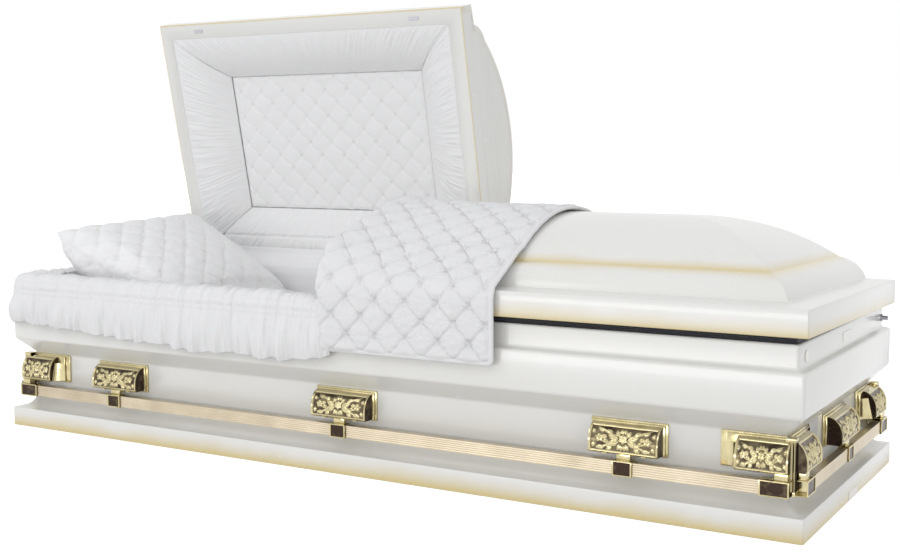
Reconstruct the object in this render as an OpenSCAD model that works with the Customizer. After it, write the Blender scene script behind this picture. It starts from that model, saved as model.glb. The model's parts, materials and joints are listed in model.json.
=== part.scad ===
// Half-couch burial casket in enamelled sheet steel, with cast bar handles and a crepe interior.
// Millimetres. X runs from the head (-X) to the foot (+X), Y from the front (-Y) to the hinges (+Y),
// Z up. The origin is the middle of the underside. The head lid stands open, the foot lid is shut.

/* [Overall] */
// Length over the base and the lid rims
casket_l = 2110; // [1700:10:2600]
// Width over the base and the lid rims
casket_w = 741; // [600:1:900]
// Thickness of the steel sheet
sheet = 1.2; // [0.8:0.1:2]

/* [Base] */
// Height of the upright face of the base moulding
base_h = 48; // [30:1:70]
// Flat ledge on top of the base, outside its cove
ledge = 6; // [2:1:15]

/* [Body] */
// Inset of the lower wall from the outline
wall_inset = 45; // [30:1:55]
// Inset of the projecting band
band_inset = 6; // [2:1:15]
// Inset of the strip above the band
strip_inset = 22; // [16:1:28]
// Height where the undercut leaves the lower wall
undercut_z = 193; // [170:1:215]
// Height of the lower edge of the band
band_z0 = 234; // [225:1:250]
// Height of the upper edge of the band
band_z1 = 318; // [300:1:330]
// Rise of the ledge on top of the band
band_ledge_rise = 4; // [1:1:8]
// Height of the body rim
rim_z = 370; // [350:1:390]
// Inset of the mouth of the body
mouth_inset = 52; // [46:1:60]
// Thickness of the rubber seal when a lid presses on it
seal_h = 5; // [3:1:8]
// Width of the rubber seal
seal_w = 18; // [10:1:22]

/* [Lids] */
// Where the two lids part, measured from the middle of the casket
split_x = -16; // [-150:1:150]
// Gap between the two lids
split_gap = 4; // [3:0.5:8]
// Height of the upright rim of a lid
lid_rim_h = 54; // [35:1:70]
// Width of the shelf above the rim
shelf_w = 54; // [30:1:70]
// Rise of the shelf
shelf_rise = 5; // [1:1:10]
// Width of the rounded shoulder
shoulder_w = 50; // [30:1:60]
// Height of the rounded shoulder
shoulder_h = 51; // [30:1:60]
// Radius of the rounded shoulder
shoulder_r = 70; // [50:1:100]
// Height of the crown above the bottom of the rim
crown_h = 207; // [170:1:240]
// Width of the painted frame round the mouth of a lid
frame_w = 42; // [30:1:50]
// Angle by which the head lid stands open
head_open = 77.8; // [0:0.1:78]
// Angle by which the foot lid is held off its seal
foot_ajar = 0.8; // [0:0.1:2]

/* [Lid lining] */
// Width of the shirred borders along the sides
border_w = 128; // [90:1:150]
// Width of the shirred borders at the ends
border_end_w = 143; // [90:1:170]
// Depth of the tufted panel behind the mouth
panel_depth = 72; // [50:1:85]
// Thickness of the padding
pad_t = 18; // [10:1:20]

/* [Handles] */
// Width of the back plate of a lug
lug_w = 165; // [120:1:180]
// Width of the barrel of a lug
barrel_w = 148; // [100:1:155]
// Bottom of the lugs
lug_z0 = 122; // [120:1:126]
// Height of the lugs
lug_h = 68; // [50:1:68]
// Height of the corner castings above the bottom of the lugs
corner_h = 71; // [50:1:71]
// How far the barrels stand out from the wall
barrel_out = 41; // [36:1:43]
// Thickness of each of the two steps of the back plates
step_t = 5; // [3:0.5:7]
// Gap between a corner casting and the next lug
lug_to_corner = 107; // [20:1:150]
// How far a corner casting reaches from the outline's corner
corner_reach = 175; // [140:1:200]
// Height of the bars
bar_h = 27; // [20:1:30]
// Depth of the bars
bar_d = 20; // [14:1:22]
// Height of the middle of the bars
bar_z = 98; // [90:1:102]
// Distance of the middle of the bars from the wall
bar_out = 30; // [26:1:32]
// Reeds on each broad face of a bar
reeds = 6; // [3:1:8]
// Width of the clips on the bars
clip_w = 42; // [25:1:60]
// Wall of the clips and sockets
clip_t = 2.5; // [1.5:0.5:3]

/* [Hinges] */
// Height of the hinge axis below the closed lid
hinge_drop = 8; // [7.5:0.5:9]
// Distance of the hinge axis behind the lid rims
hinge_back = 2; // [1:0.5:4]
// Radius of the hinge barrels
knuckle_r = 5; // [4:0.5:6]
// Radius of the hinge pins
pin_r = 2.2; // [1.5:0.1:3]
// Width of a hinge
hinge_w = 90; // [60:1:150]

/* [Cloth] */
// Height of the top of the mattress
mattress_z = 252; // [200:1:300]
// Thickness of the satin side linings
lining_t = 5; // [3:1:8]
// Length of the pillow along the casket
pillow_l = 400; // [300:5:500]
// Gap on either side of the pillow
pillow_gap = 34; // [5:1:100]
// Height of the pillow at the head end
pillow_h = 285; // [150:5:300]
// Height of the pillow at its foot edge
pillow_low_h = 70; // [40:5:120]
// Thickness of the overlay quilt
quilt_t = 14; // [8:1:20]
// Length of the quilt along the foot lid
quilt_l = 418; // [250:1:600]
// Drop of the quilt below the lid's rim
quilt_drop = 94; // [40:1:120]
// Reach of the quilt behind the middle of the lid
quilt_back = 150; // [50:5:250]
// Thickness of the gathered cloth over the front rim
extend_t = 8; // [4:1:12]
// Height of that cloth above the rim
extend_up = 32; // [20:1:40]
// Drop of that cloth below the rim, outside
extend_drop = 118; // [60:1:130]
// Drop of that cloth below the rim, inside
extend_in = 40; // [20:1:80]

/* [Small parts] */
// Length of the blank plates on the foot end
plate_l = 74; // [40:1:90]
// Height of the blank plates
plate_h = 18; // [12:1:24]
// Radius of the flush plug
plug_r = 11; // [6:1:14]
// Radius of the locking knob
knob_r = 8; // [5:1:12]

/* [Hidden] */

$fn = 48;
enamel = [0.88, 0.88, 0.86];
gold = [0.80, 0.72, 0.45];
bar_gold = [0.72, 0.66, 0.52];
cloth = [0.93, 0.93, 0.94];
rubber = [0.20, 0.20, 0.22];
clear = 0.3;                  // gap round soft pieces and sliding fits
pin_play = 0.08;              // running clearance of a hinge pin in its knuckle
past = 5;                     // how far cutting tools run past a face
half_l = casket_l / 2;
half_w = casket_w / 2;
floor_z = sheet;              // top of the floor sheet, which lies flush with the base
cove_r = wall_inset - ledge - sheet;   // the base's cove
cove_mid_z = base_h + cove_r * (1 - cos(45));   // half way round the cove
lid_z = rim_z + seal_h;       // bottom of a closed lid
seal_e = strip_inset + (mouth_inset - strip_inset - seal_w) / 2;   // outer edge of the seal
bed_w = casket_w - 2 * (mouth_inset + lining_t + extend_t + 2 * clear);   // between the cloths
hinge_y = half_w + hinge_back;
hinge_z = lid_z - hinge_drop;
crease_e = shelf_w + shoulder_w;
crease_h = lid_rim_h + shelf_rise + shoulder_h;
crown_r = (pow(half_w - crease_e, 2) + pow(crown_h - crease_h, 2)) / (2 * (crown_h - crease_h));
lug_x = half_l - corner_reach - lug_to_corner - lug_w / 2;
bar_y = half_w - wall_inset + bar_out;   // middle of the long bars
bar_x = half_l - wall_inset + bar_out;   // middle of the end bars

// ---------- outlines: lists of [inset from the outline, height] ----------

function arc(c, r, a0, a1, n) =
    [for (i = [0:n]) let (a = a0 + (a1 - a0) * i / n) [c[0] + r * cos(a), c[1] + r * sin(a)]];

// Middle of the circle of radius r through p and q that bulges up and outwards
function arc_centre(p, q, r) =
    let (d = q - p, m = (p + q) / 2, s = norm(d), k = sqrt(r * r - s * s / 4))
    [m[0] + d[1] / s * k, m[1] - d[0] / s * k];

function angle_to(c, p) = atan2(p[1] - c[1], p[0] - c[0]);

// A symmetric section of the given overall width, from the outline of one side
function section(w, side) =
    let (n = len(side))
    concat([for (p = side) [-w / 2 + p[0], p[1]]],
           [for (i = [n - 1:-1:0]) [w / 2 - side[i][0], side[i][1]]]);

// Base: upright face, ledge, then a cove that rises to the wall
function base_side(t, z0) =
    concat([[t, z0], [t, base_h - t]],
           arc([ledge, base_h + cove_r], cove_r + t, -90, 0, 10));

// Body: lower wall, undercut, band, ledge and strip; a turn of 45 degrees shifts an offset by tan 22.5
function body_side(t, z0, z1) =
    [[wall_inset + t, z0], [wall_inset + t, undercut_z + t * tan(22.5)],
     [band_inset + t, band_z0 + t * tan(22.5)], [band_inset + t, band_z1 - t * 0.8],
     [strip_inset + t, band_z1 + band_ledge_rise - t], [strip_inset + t, z1]];

// Lid: rim, shelf, rounded shoulder, then the crown up to the ridge
function lid_side(t, z0) =
    let (p = [shelf_w, lid_rim_h + shelf_rise], q = [crease_e, crease_h],
         c = arc_centre(p, q, shoulder_r), a = angle_to(c, p), b = angle_to(c, q),
         k = [half_w, crown_h - crown_r])
    concat([[t, z0], [t, lid_rim_h - t]],
           arc(c, shoulder_r - t, a, b, 8),
           arc(k, crown_r - t, angle_to(k, q), 90, 18));

// The solid that has one side outline on all four sides, mitred at the corners
module mitred(side) {
    intersection() {
        rotate([90, 0, 90]) linear_extrude(casket_l + 2 * past, center = true)
            polygon(section(casket_w, side));
        rotate([90, 0, 0]) linear_extrude(casket_w + 2 * past, center = true)
            polygon(section(casket_l, side));
    }
}

// A block inset by e from the outline, from z0 to z1
module inset_block(e, z0, z1) {
    translate([-half_l + e, -half_w + e, z0]) cube([casket_l - 2 * e, casket_w - 2 * e, z1 - z0]);
}

// Turns a closed lid up by angle a about the hinge axis
module lifted(a) {
    translate([0, hinge_y, hinge_z]) rotate([-a, 0, 0]) translate([0, -hinge_y, -hinge_z]) children();
}

// Keeps what lies between two places along the casket
module between(x0, x1) {
    intersection() {
        children();
        translate([x0, -casket_w, -casket_w]) cube([x1 - x0, 2 * casket_w, 3 * casket_w]);
    }
}

// ---------- base and body ----------

// One steel pressing round all four sides
module base_pressing() {
    difference() {
        mitred(base_side(0, 0));
        mitred(base_side(sheet, -past));
        inset_block(wall_inset, -past, rim_z);
    }
}

// The pressing is modelled as two solids that meet half way round its cove, with no seam there
module base_moulding() {
    color(enamel) intersection() {
        base_pressing();
        inset_block(0, 0, cove_mid_z);
    }
}

module base_cove() {
    color(enamel) intersection() {
        base_pressing();
        inset_block(0, cove_mid_z, rim_z);
    }
}

module bottom_pan() {
    color(enamel) inset_block(sheet, 0, floor_z);
}

module body_shell() {
    color(enamel) difference() {
        mitred(body_side(0, floor_z, rim_z));
        mitred(body_side(sheet, floor_z - past, rim_z - sheet));
        inset_block(mouth_inset, rim_z - sheet - past, rim_z + past);
    }
}

// Under the shut lid the seal swells up to the lid; under the open one it stays low
module rim_seal() {
    color(rubber) difference() {
        inset_block(seal_e, rim_z, lid_z + casket_w * sin(foot_ajar));
        inset_block(seal_e + seal_w, rim_z - past, lid_z + casket_w);
        translate([-casket_l, -casket_w, lid_z - clear])
            cube([casket_l + split_x, 2 * casket_w, casket_w]);
        lifted(foot_ajar) translate([-casket_l, -casket_w, lid_z - clear])
            cube([2 * casket_l, 3 * casket_w, casket_w]);
    }
}

// ---------- bed ----------

module mattress() {
    e = mouth_inset + lining_t + 2 * clear + 2;
    color(cloth) inset_block(e, floor_z + clear, mattress_z);
}

module lining(x, y, l, w) {
    color(cloth) translate([x - l / 2, y - w / 2, mattress_z + 2])
        cube([l, w, rim_z - mattress_z]);
}

lining_e = mouth_inset + clear + lining_t / 2;
lining_l = casket_l - 2 * (mouth_inset + lining_t + 2 * clear);

module lining_front() { lining(0, -half_w + lining_e, lining_l, lining_t); }
module lining_back() { lining(0, half_w - lining_e, lining_l, lining_t); }
module lining_head() { lining(-half_l + lining_e, 0, lining_t, casket_w - 2 * mouth_inset - 2 * clear); }
module lining_foot() { lining(half_l - lining_e, 0, lining_t, casket_w - 2 * mouth_inset - 2 * clear); }

// A wedge-shaped pillow that stands against the head end
module pillow() {
    x0 = -half_l + mouth_inset + lining_t + 3 * clear;
    z0 = mattress_z + clear;
    color(cloth) rotate([90, 0, 0]) linear_extrude(bed_w - 2 * pillow_gap, center = true)
        polygon([[x0, z0], [x0 + pillow_l, z0], [x0 + pillow_l, z0 + pillow_low_h],
                 [x0 + 60, z0 + pillow_h], [x0, z0 + pillow_h]]);
}

// Gathered cloth that hangs over the front rim of the open half, in to the side lining
module front_throw() {
    yo = half_w + extend_t + 10;
    yi = bed_w / 2;
    x0 = -half_l + 3;
    x1 = split_x - split_gap;
    in_x0 = -half_l + mouth_inset + lining_t + 3 * clear;
    zt = rim_z + extend_up;
    color(cloth) {
        translate([x0, -yo, rim_z - extend_drop]) cube([x1 - x0, extend_t, extend_drop + extend_up]);
        translate([x0, -yo, zt - extend_t]) cube([x1 - x0, yo - yi, extend_t]);
        translate([in_x0, -yi - extend_t, rim_z - extend_in])
            cube([x1 - in_x0, extend_t, extend_in + extend_up]);
    }
}

// ---------- lids ----------

// A lid between two places: shell, frame round its mouth, and closed ends
module lid(x0, x1, cut0, cut1) {
    color(enamel) translate([0, 0, lid_z]) difference() {
        between(x0, x1) mitred(lid_side(0, 0));
        between(x0 + cut0, x1 - cut1) mitred(lid_side(sheet, sheet));
        translate([x0 + frame_w, -half_w + frame_w, -past])
            cube([x1 - x0 - 2 * frame_w, casket_w - 2 * frame_w, 2 * past]);
    }
}

head_x0 = -half_l;
head_x1 = split_x - split_gap / 2;
foot_x0 = split_x + split_gap / 2;
foot_x1 = half_l;

module head_lid() { lifted(head_open) lid(head_x0, head_x1, 0, sheet); }
module foot_lid() { lifted(foot_ajar) lid(foot_x0, foot_x1, sheet, 0); }

// One border of the lining, as if it lay along the front: from the frame down to the panel
module border_bar(l, w) {
    rotate([90, 0, 90]) linear_extrude(l, center = true)
        polygon([[clear, sheet / 4], [w * 0.3, panel_depth * 0.14], [w * 0.75, panel_depth * 0.62],
                 [w, panel_depth], [w, panel_depth + pad_t], [w * 0.55, panel_depth * 0.62 + pad_t],
                 [w * 0.2, panel_depth * 0.2 + pad_t], [clear, pad_t]]);
}

// Triangle or trapezium seen from above that belongs to one side of the mouth
module mitre_wedge(l, w, reach, back) {
    linear_extrude(3 * panel_depth, center = true)
        polygon([[-l / 2 + clear, 0], [l / 2 - clear, 0],
                 [l / 2 - back - clear, reach], [-l / 2 + back + clear, reach]]);
}

// The border of side s: 0 front, 1 back, 2 head end, 3 split end
module border(x0, x1, s) {
    l = x1 - x0 - 2 * frame_w;
    w = casket_w - 2 * frame_w;
    ends = s > 1;
    run = ends ? w : l;
    out = ends ? l / 2 : w / 2;
    own = ends ? border_end_w : border_w;
    other = ends ? border_w : border_end_w;
    turn = [0, 180, -90, 90][s];
    color(cloth) translate([(x0 + x1) / 2, 0, lid_z]) rotate([0, 0, turn]) translate([0, -out, 0])
        intersection() {
            border_bar(run, own - clear);
            mitre_wedge(run, w, own, other);
        }
}

module panel(x0, x1) {
    l = x1 - x0 - 2 * frame_w - 2 * border_end_w;
    w = casket_w - 2 * frame_w - 2 * border_w;
    color(cloth) translate([(x0 + x1) / 2 - l / 2, -w / 2, lid_z + panel_depth]) cube([l, w, pad_t]);
}

module lid_panel() { lifted(head_open) panel(head_x0, head_x1); }
module border_front() { lifted(head_open) border(head_x0, head_x1, 0); }
module border_back() { lifted(head_open) border(head_x0, head_x1, 1); }
module border_head() { lifted(head_open) border(head_x0, head_x1, 2); }
module border_split() { lifted(head_open) border(head_x0, head_x1, 3); }

// The foot lid has the same lining, made up as one tray
module foot_lid_lining() {
    l = foot_x1 - foot_x0 - 2 * frame_w;
    w = casket_w - 2 * frame_w;
    color(cloth) lifted(foot_ajar) {
        translate([(foot_x0 + foot_x1) / 2, 0, lid_z]) {
            for (s = [0, 1]) rotate([0, 0, 180 * s]) translate([0, -w / 2, 0]) intersection() {
                border_bar(l, border_w);
                translate([0, clear, 0]) mitre_wedge(l, w, border_w, border_end_w - clear);
            }
            for (s = [0, 1]) rotate([0, 0, 90 + 180 * s]) translate([0, -l / 2, 0]) intersection() {
                border_bar(w, border_end_w);
                translate([0, clear, 0]) mitre_wedge(w, l, border_end_w, border_w - clear);
            }
        }
        translate([foot_x0 + frame_w + border_end_w - 1, -w / 2 + border_w - 1, lid_z + panel_depth])
            cube([l - 2 * border_end_w + 2, w - 2 * border_w + 2, pad_t]);
    }
}

module latch_plate(x) {
    w = seal_e - strip_inset + 3;
    color(gold) lifted(head_open) translate([x - 15, -half_w + seal_e - w - 0.5, lid_z - 1.5])
        cube([30, w, 1.5]);
}
latch_in = 0.11 * (head_x1 - head_x0 - 2 * frame_w);
module latch_plate_a() { latch_plate(head_x0 + frame_w + latch_in); }
module latch_plate_b() { latch_plate(head_x1 - frame_w - latch_in); }

// The overlay quilt: down the front, over the shelf to the crown, and on behind the ridge
module quilt() {
    gap = clear;
    k = [0, lid_z + crown_h - crown_r];
    a0 = 90 + asin((half_w - crease_e - 8) / crown_r);
    a1 = 90 - asin(quilt_back / crown_r);
    color(cloth) lifted(foot_ajar) translate([foot_x0 + 1, 0, 0]) rotate([90, 0, 90])
        linear_extrude(quilt_l) polygon(concat(
            [[-half_w - gap - quilt_t, lid_z - quilt_drop],
             [-half_w - gap - quilt_t, lid_z + lid_rim_h + 8 + quilt_t / 2]],
            arc(k, crown_r + gap + quilt_t, a0, a1, 20),
            arc(k, crown_r + gap, a1, a0, 20),
            [[-half_w - gap, lid_z + lid_rim_h + 8], [-half_w - gap, lid_z - quilt_drop]]));
}

// ---------- hinges ----------

// Middles of the four hinges along the casket
function hinge_x(i) =
    let (x0 = i < 3 ? head_x0 : foot_x0, x1 = i < 3 ? head_x1 : foot_x1, d = (x1 - x0) / 4)
    i % 2 == 1 ? x0 + d : x1 - d;

module knuckle(x0, x1) {
    translate([x0, hinge_y, hinge_z]) rotate([0, 90, 0]) cylinder(r = knuckle_r, h = x1 - x0);
}

// Body leaf: plate on the strip, web out to two knuckles, and the pin
module hinge_leaf(i) {
    x = hinge_x(i);
    third = hinge_w / 3;
    wall_y = half_w - strip_inset;
    color(enamel) {
        translate([x - hinge_w / 2, wall_y, hinge_z - 34]) cube([hinge_w, 2.5, 34]);
        for (s = [-1, 1]) translate([x + s * third, 0, 0]) {
            knuckle(-third / 2 + clear, third / 2 - clear);
            translate([-third / 2 + clear, wall_y, hinge_z - knuckle_r])
                cube([third - 2 * clear, hinge_y - wall_y, 2.5]);
        }
        translate([x - hinge_w / 2 + 1, hinge_y, hinge_z]) rotate([0, 90, 0])
            cylinder(r = pin_r, h = hinge_w - 2);
    }
}

// Lid leaf: plate on the back of the rim, down to the middle knuckle
module hinge_strap(i) {
    x = hinge_x(i);
    third = hinge_w / 3;
    color(enamel) lifted(i < 3 ? head_open : foot_ajar) difference() {
        union() {
            translate([x - hinge_w / 2, half_w, lid_z + 1]) cube([hinge_w, 2.5, lid_rim_h * 0.7]);
            translate([x - third / 2 + clear, half_w, hinge_z]) cube([third - 2 * clear, 2.5, hinge_drop + 2]);
            knuckle(x - third / 2 + clear, x + third / 2 - clear);
        }
        translate([x - hinge_w / 2, hinge_y, hinge_z]) rotate([0, 90, 0])
            cylinder(r = pin_r + pin_play, h = hinge_w);
    }
}

// ---------- handles ----------

// Side view of a barrel, as [distance from the wall, height]: bulged above, upright below
function barrel_side(h) =
    let (v0 = 2 * step_t, rv = barrel_out - v0, z0 = lug_z0 + 4, z1 = lug_z0 + 22, z2 = lug_z0 + h - 6)
    concat([[v0, z0], [v0 + rv - 4, z0], [v0 + rv, z0 + 5]],
           [for (i = [0:9]) let (a = 90 * i / 9) [v0 + rv * cos(a), z1 + (z2 - z1) * sin(a)]]);

// The piece of wall hardware is drawn against the plane y = 0, standing out towards -y
module barrel(x0, x1, h) {
    translate([x0, 0, 0]) rotate([90, 0, 90]) linear_extrude(x1 - x0)
        polygon([for (p = barrel_side(h)) [-p[0], p[1]]]);
}

module lug() {
    step_in = (lug_w - barrel_w) / 4;
    color(gold) {
        translate([-lug_w / 2, -step_t, lug_z0]) cube([lug_w, step_t, lug_h]);
        translate([-lug_w / 2 + step_in, -2 * step_t, lug_z0 + 2])
            cube([lug_w - 2 * step_in, 2 * step_t, lug_h - 5]);
        barrel(-barrel_w / 2, barrel_w / 2, lug_h);
    }
}

// Outline of a bar: reeds on the two broad faces, plain narrow faces
function bar_outline() =
    let (p = bar_h / reeds, d = bar_d / 2, deep = p * 0.22)
    concat([for (i = [0:reeds - 1], j = [0:3]) let (t = (i + j / 4) * p)
               [-d + deep - deep * sin(180 * j / 4), -bar_h / 2 + t]],
           [[-d + deep, bar_h / 2], [d - deep, bar_h / 2]],
           [for (i = [reeds - 1:-1:0], j = [4:-1:1]) let (t = (i + j / 4) * p)
               [d - deep + deep * sin(180 * j / 4), -bar_h / 2 + t]],
           [[d - deep, -bar_h / 2]]);

// A bar of length l along x at the height of the bars
module bar(l) {
    color(bar_gold) translate([0, 0, bar_z]) rotate([90, 0, 90])
        linear_extrude(l, center = true) polygon(bar_outline());
}

module bar_hole(x0, x1) {
    translate([x0, -bar_out - bar_d / 2 - clear, bar_z - bar_h / 2 - clear])
        cube([x1 - x0, bar_d + 2 * clear, bar_h + 2 * clear]);
}

// Arm: neck under the barrel and a square clip round the bar
module arm() {
    d = bar_d + 2 * clip_t + 2 * clear;
    h = bar_h + 2 * clip_t + 2 * clear;
    neck_w = clip_w * 0.7;
    color(gold) difference() {
        union() {
            translate([-clip_w / 2, -bar_out - d / 2, bar_z - h / 2]) cube([clip_w, d, h]);
            translate([-neck_w / 2, -bar_out - 5, bar_z]) cube([neck_w, 10, lug_z0 + 4 - bar_z]);
        }
        bar_hole(-clip_w, clip_w);
    }
}

corner_barrel_in = 34;        // inset of the inner ends of a corner casting's barrels
corner_barrel_out = 137;      // inset of their outer ends
column = 21;                  // the corner column stands out this far from both walls
socket_lap = 15;              // the bar sockets run on this far past the corner of the wall
socket_l = 58;                // length of a bar socket
socket_in = wall_inset - socket_lap;   // inset of their near ends
socket_out = socket_in + socket_l;     // inset of their mouths
column_z = base_h + wall_inset - ledge;   // and starts just above the base's cove

// One wing of a corner casting, drawn along the front wall with the casket's corner at x = 0
module corner_wing() {
    d = bar_d + 2 * clip_t + 2 * clear;
    h = bar_h + 2 * clip_t + 2 * clear;
    translate([-corner_reach, -step_t, lug_z0])
        cube([corner_reach - wall_inset + step_t, step_t, corner_h]);
    translate([-corner_reach + 14, -2 * step_t, lug_z0 + 2])
        cube([corner_reach - 14 - wall_inset + 2 * step_t, 2 * step_t, corner_h - 5]);
    barrel(-corner_barrel_out, -corner_barrel_in, corner_h);
    // scooped end between the plate and the barrel
    translate([0, 0, lug_z0 + 6]) linear_extrude(corner_h * 0.45)
        polygon([[-corner_barrel_out - 20, -2 * step_t], [-corner_barrel_out - 8, -barrel_out * 0.4],
                 [-corner_barrel_out, -barrel_out * 0.8], [-corner_barrel_out, -2 * step_t]]);
    difference() {
        union() {
            translate([-socket_out, -bar_out - d / 2, bar_z - h / 2])
                cube([socket_out - socket_in, d, h]);
            translate([-socket_in - 30, -bar_out - 8, bar_z]) cube([26, 16, lug_z0 + 6 - bar_z]);
        }
        bar_hole(-socket_out - past, -socket_in - 20);
    }
}

// Corner casting of the front right corner: two wings and the column between them
module corner() {
    color(gold) {
        translate([half_l, -half_w + wall_inset, 0]) corner_wing();
        mirror_wing() translate([half_w, -half_l + wall_inset, 0]) corner_wing();
        translate([half_l - wall_inset, -half_w + wall_inset - column, column_z])
            cube([column, column, lug_z0 + corner_h - column_z]);
    }
}

// Swaps the front and the foot end
module mirror_wing() {
    mirror([1, 1, 0]) children();
}

// Lugs and arms: 1 to 3 front from the head, 4 to 6 back, 7 head end, 8 foot end
module at_lug(i) {
    x = [-lug_x, 0, lug_x, -lug_x, 0, lug_x][i - 1];
    if (i < 4) translate([x, -half_w + wall_inset, 0]) children();
    else if (i < 7) translate([x, half_w - wall_inset, 0]) mirror([0, 1, 0]) children();
    else if (i == 7) translate([-half_l + wall_inset, 0, 0]) rotate([0, 0, -90]) children();
    else translate([half_l - wall_inset, 0, 0]) rotate([0, 0, 90]) children();
}

// Corners: 1 front foot, 2 front head, 3 back foot, 4 back head
module at_corner(i) {
    mirror([i % 2 == 0 ? 1 : 0, 0, 0]) mirror([0, i > 2 ? 1 : 0, 0]) children();
}

bar_front_l = 2 * (half_l - socket_in - 20 - clear);
bar_end_l = 2 * (half_w - socket_in - 20 - clear);
module bar_front() { translate([0, -bar_y, 0]) bar(bar_front_l); }
module bar_back() { translate([0, bar_y, 0]) bar(bar_front_l); }
module bar_head() { translate([-bar_x, 0, 0]) rotate([0, 0, 90]) bar(bar_end_l); }
module bar_foot() { translate([bar_x, 0, 0]) rotate([0, 0, 90]) bar(bar_end_l); }

// ---------- small parts on the foot end ----------

strip_x = half_l - strip_inset;
strip_mid_z = (band_z1 + rim_z) / 2;

module strip_plate() {
    color(enamel) translate([strip_x, 14 - plate_l / 2, strip_mid_z - plate_h / 2])
        cube([1, plate_l, plate_h]);
}

module base_plate() {
    color(enamel) translate([half_l, 10 - plate_l / 2, 3]) cube([0.8, plate_l, plate_h]);
}

module end_plug() {
    color(enamel) translate([strip_x, -half_w + 69, strip_mid_z]) rotate([0, 90, 0])
        cylinder(r = plug_r, h = 2);
}

module lock_knob() {
    color("silver") translate([strip_x, half_w - 40, strip_mid_z]) rotate([0, 90, 0]) {
        cylinder(r = knob_r, h = 4);
        cylinder(r = knob_r * 0.6, h = 16);
    }
}

// ---------- assembly ----------

base_moulding();
base_cove();
bottom_pan();
body_shell();
rim_seal();
mattress();
pillow();
front_throw();
lining_front();
lining_back();
lining_head();
lining_foot();
strip_plate();
base_plate();
end_plug();
lock_knob();
head_lid();
lid_panel();
border_front();
border_back();
border_head();
border_split();
latch_plate_a();
latch_plate_b();
foot_lid();
foot_lid_lining();
quilt();
for (i = [1:4]) hinge_leaf(i);
for (i = [1:4]) hinge_strap(i);
for (i = [1:8]) at_lug(i) lug();
for (i = [1:8]) at_lug(i) arm();
for (i = [1:4]) at_corner(i) corner();
bar_front();
bar_back();
bar_head();
bar_foot();
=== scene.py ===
import json
from math import atan2, copysign, cos, exp, hypot, pi, radians, sin, sqrt

import bmesh
import bpy
from mathutils import Matrix, Vector, noise
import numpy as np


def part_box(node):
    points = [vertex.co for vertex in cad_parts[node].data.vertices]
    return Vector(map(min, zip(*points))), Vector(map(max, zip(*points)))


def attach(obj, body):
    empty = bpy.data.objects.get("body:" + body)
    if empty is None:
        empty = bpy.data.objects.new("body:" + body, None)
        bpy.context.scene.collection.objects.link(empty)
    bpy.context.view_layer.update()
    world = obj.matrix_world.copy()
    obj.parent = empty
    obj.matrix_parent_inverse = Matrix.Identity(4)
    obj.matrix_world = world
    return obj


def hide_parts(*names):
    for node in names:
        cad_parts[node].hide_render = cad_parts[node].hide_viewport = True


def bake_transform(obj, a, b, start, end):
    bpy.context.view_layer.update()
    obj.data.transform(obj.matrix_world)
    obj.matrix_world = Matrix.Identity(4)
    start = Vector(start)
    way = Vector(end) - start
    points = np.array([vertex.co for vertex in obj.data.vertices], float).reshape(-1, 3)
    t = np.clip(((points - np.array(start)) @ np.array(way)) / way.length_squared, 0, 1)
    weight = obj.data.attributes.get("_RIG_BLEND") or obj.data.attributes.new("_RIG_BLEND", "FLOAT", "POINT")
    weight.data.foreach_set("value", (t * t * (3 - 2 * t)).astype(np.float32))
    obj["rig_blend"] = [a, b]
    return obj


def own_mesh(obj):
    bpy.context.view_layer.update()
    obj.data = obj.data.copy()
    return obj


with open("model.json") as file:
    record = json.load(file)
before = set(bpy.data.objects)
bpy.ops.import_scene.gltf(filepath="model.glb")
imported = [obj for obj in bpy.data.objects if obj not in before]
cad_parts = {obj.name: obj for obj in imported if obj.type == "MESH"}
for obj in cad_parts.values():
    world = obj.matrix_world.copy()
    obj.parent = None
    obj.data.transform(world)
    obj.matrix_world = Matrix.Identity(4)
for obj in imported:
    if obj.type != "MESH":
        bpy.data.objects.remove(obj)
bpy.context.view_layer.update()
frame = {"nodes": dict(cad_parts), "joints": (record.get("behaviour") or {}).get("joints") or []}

# ------------------------------------------------------------
# The studio. A pale floor under a white surround, a soft lamp high at the front left and a
# wide low one straight in front; the camera stands at the front right, just above the rim.

camera_data = bpy.data.cameras.new("camera")
camera_data.sensor_width = 36
camera_data.lens = 51.72
camera = bpy.data.objects.new("camera", camera_data)
camera.location = (1.6737, -2.7090, 0.7338)
camera.rotation_euler = (radians(84.323), radians(0.08), radians(30.462))
bpy.context.scene.collection.objects.link(camera)
bpy.context.scene.camera = camera
bpy.context.scene.view_settings.view_transform = "Standard"


def put_node(tree, kind, ins=(), **settings):
    """One shader node. ins gives its inputs by name or number, each a value or an output to link."""
    made = tree.nodes.new(kind if kind.startswith("Node") else "ShaderNode" + kind)
    for key, value in settings.items():
        setattr(made, key, value)
    for key, value in dict(ins).items():
        if isinstance(value, bpy.types.NodeSocket):
            tree.links.new(value, made.inputs[key])
        else:
            made.inputs[key].default_value = value
    return made


def maths(tree, operation, *values, clamp=False):
    """A Math node on the values given; returns its output."""
    ins = dict(enumerate(values))
    return put_node(tree, "Math", ins, operation=operation, use_clamp=clamp).outputs[0]


def soft_lamp(name, place, aim, size, watts):
    lamp = bpy.data.lights.new(name, "AREA")
    lamp.shape = "RECTANGLE"
    lamp.size, lamp.size_y = size
    lamp.energy = watts
    holder = bpy.data.objects.new(name, lamp)
    turn = (Vector(aim) - Vector(place)).to_track_quat("-Z", "Y")
    holder.matrix_world = Matrix.Translation(place) @ turn.to_matrix().to_4x4()
    bpy.context.scene.collection.objects.link(holder)


soft_lamp("key_lamp", (-1.8, -3.4, 3.0), (0, 0, 0.4), (2.0, 1.4), 18)
soft_lamp("front_lamp", (0.2, -4.6, 0.30), (0, 0, 0.15), (4.4, 0.5), 37)


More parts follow.
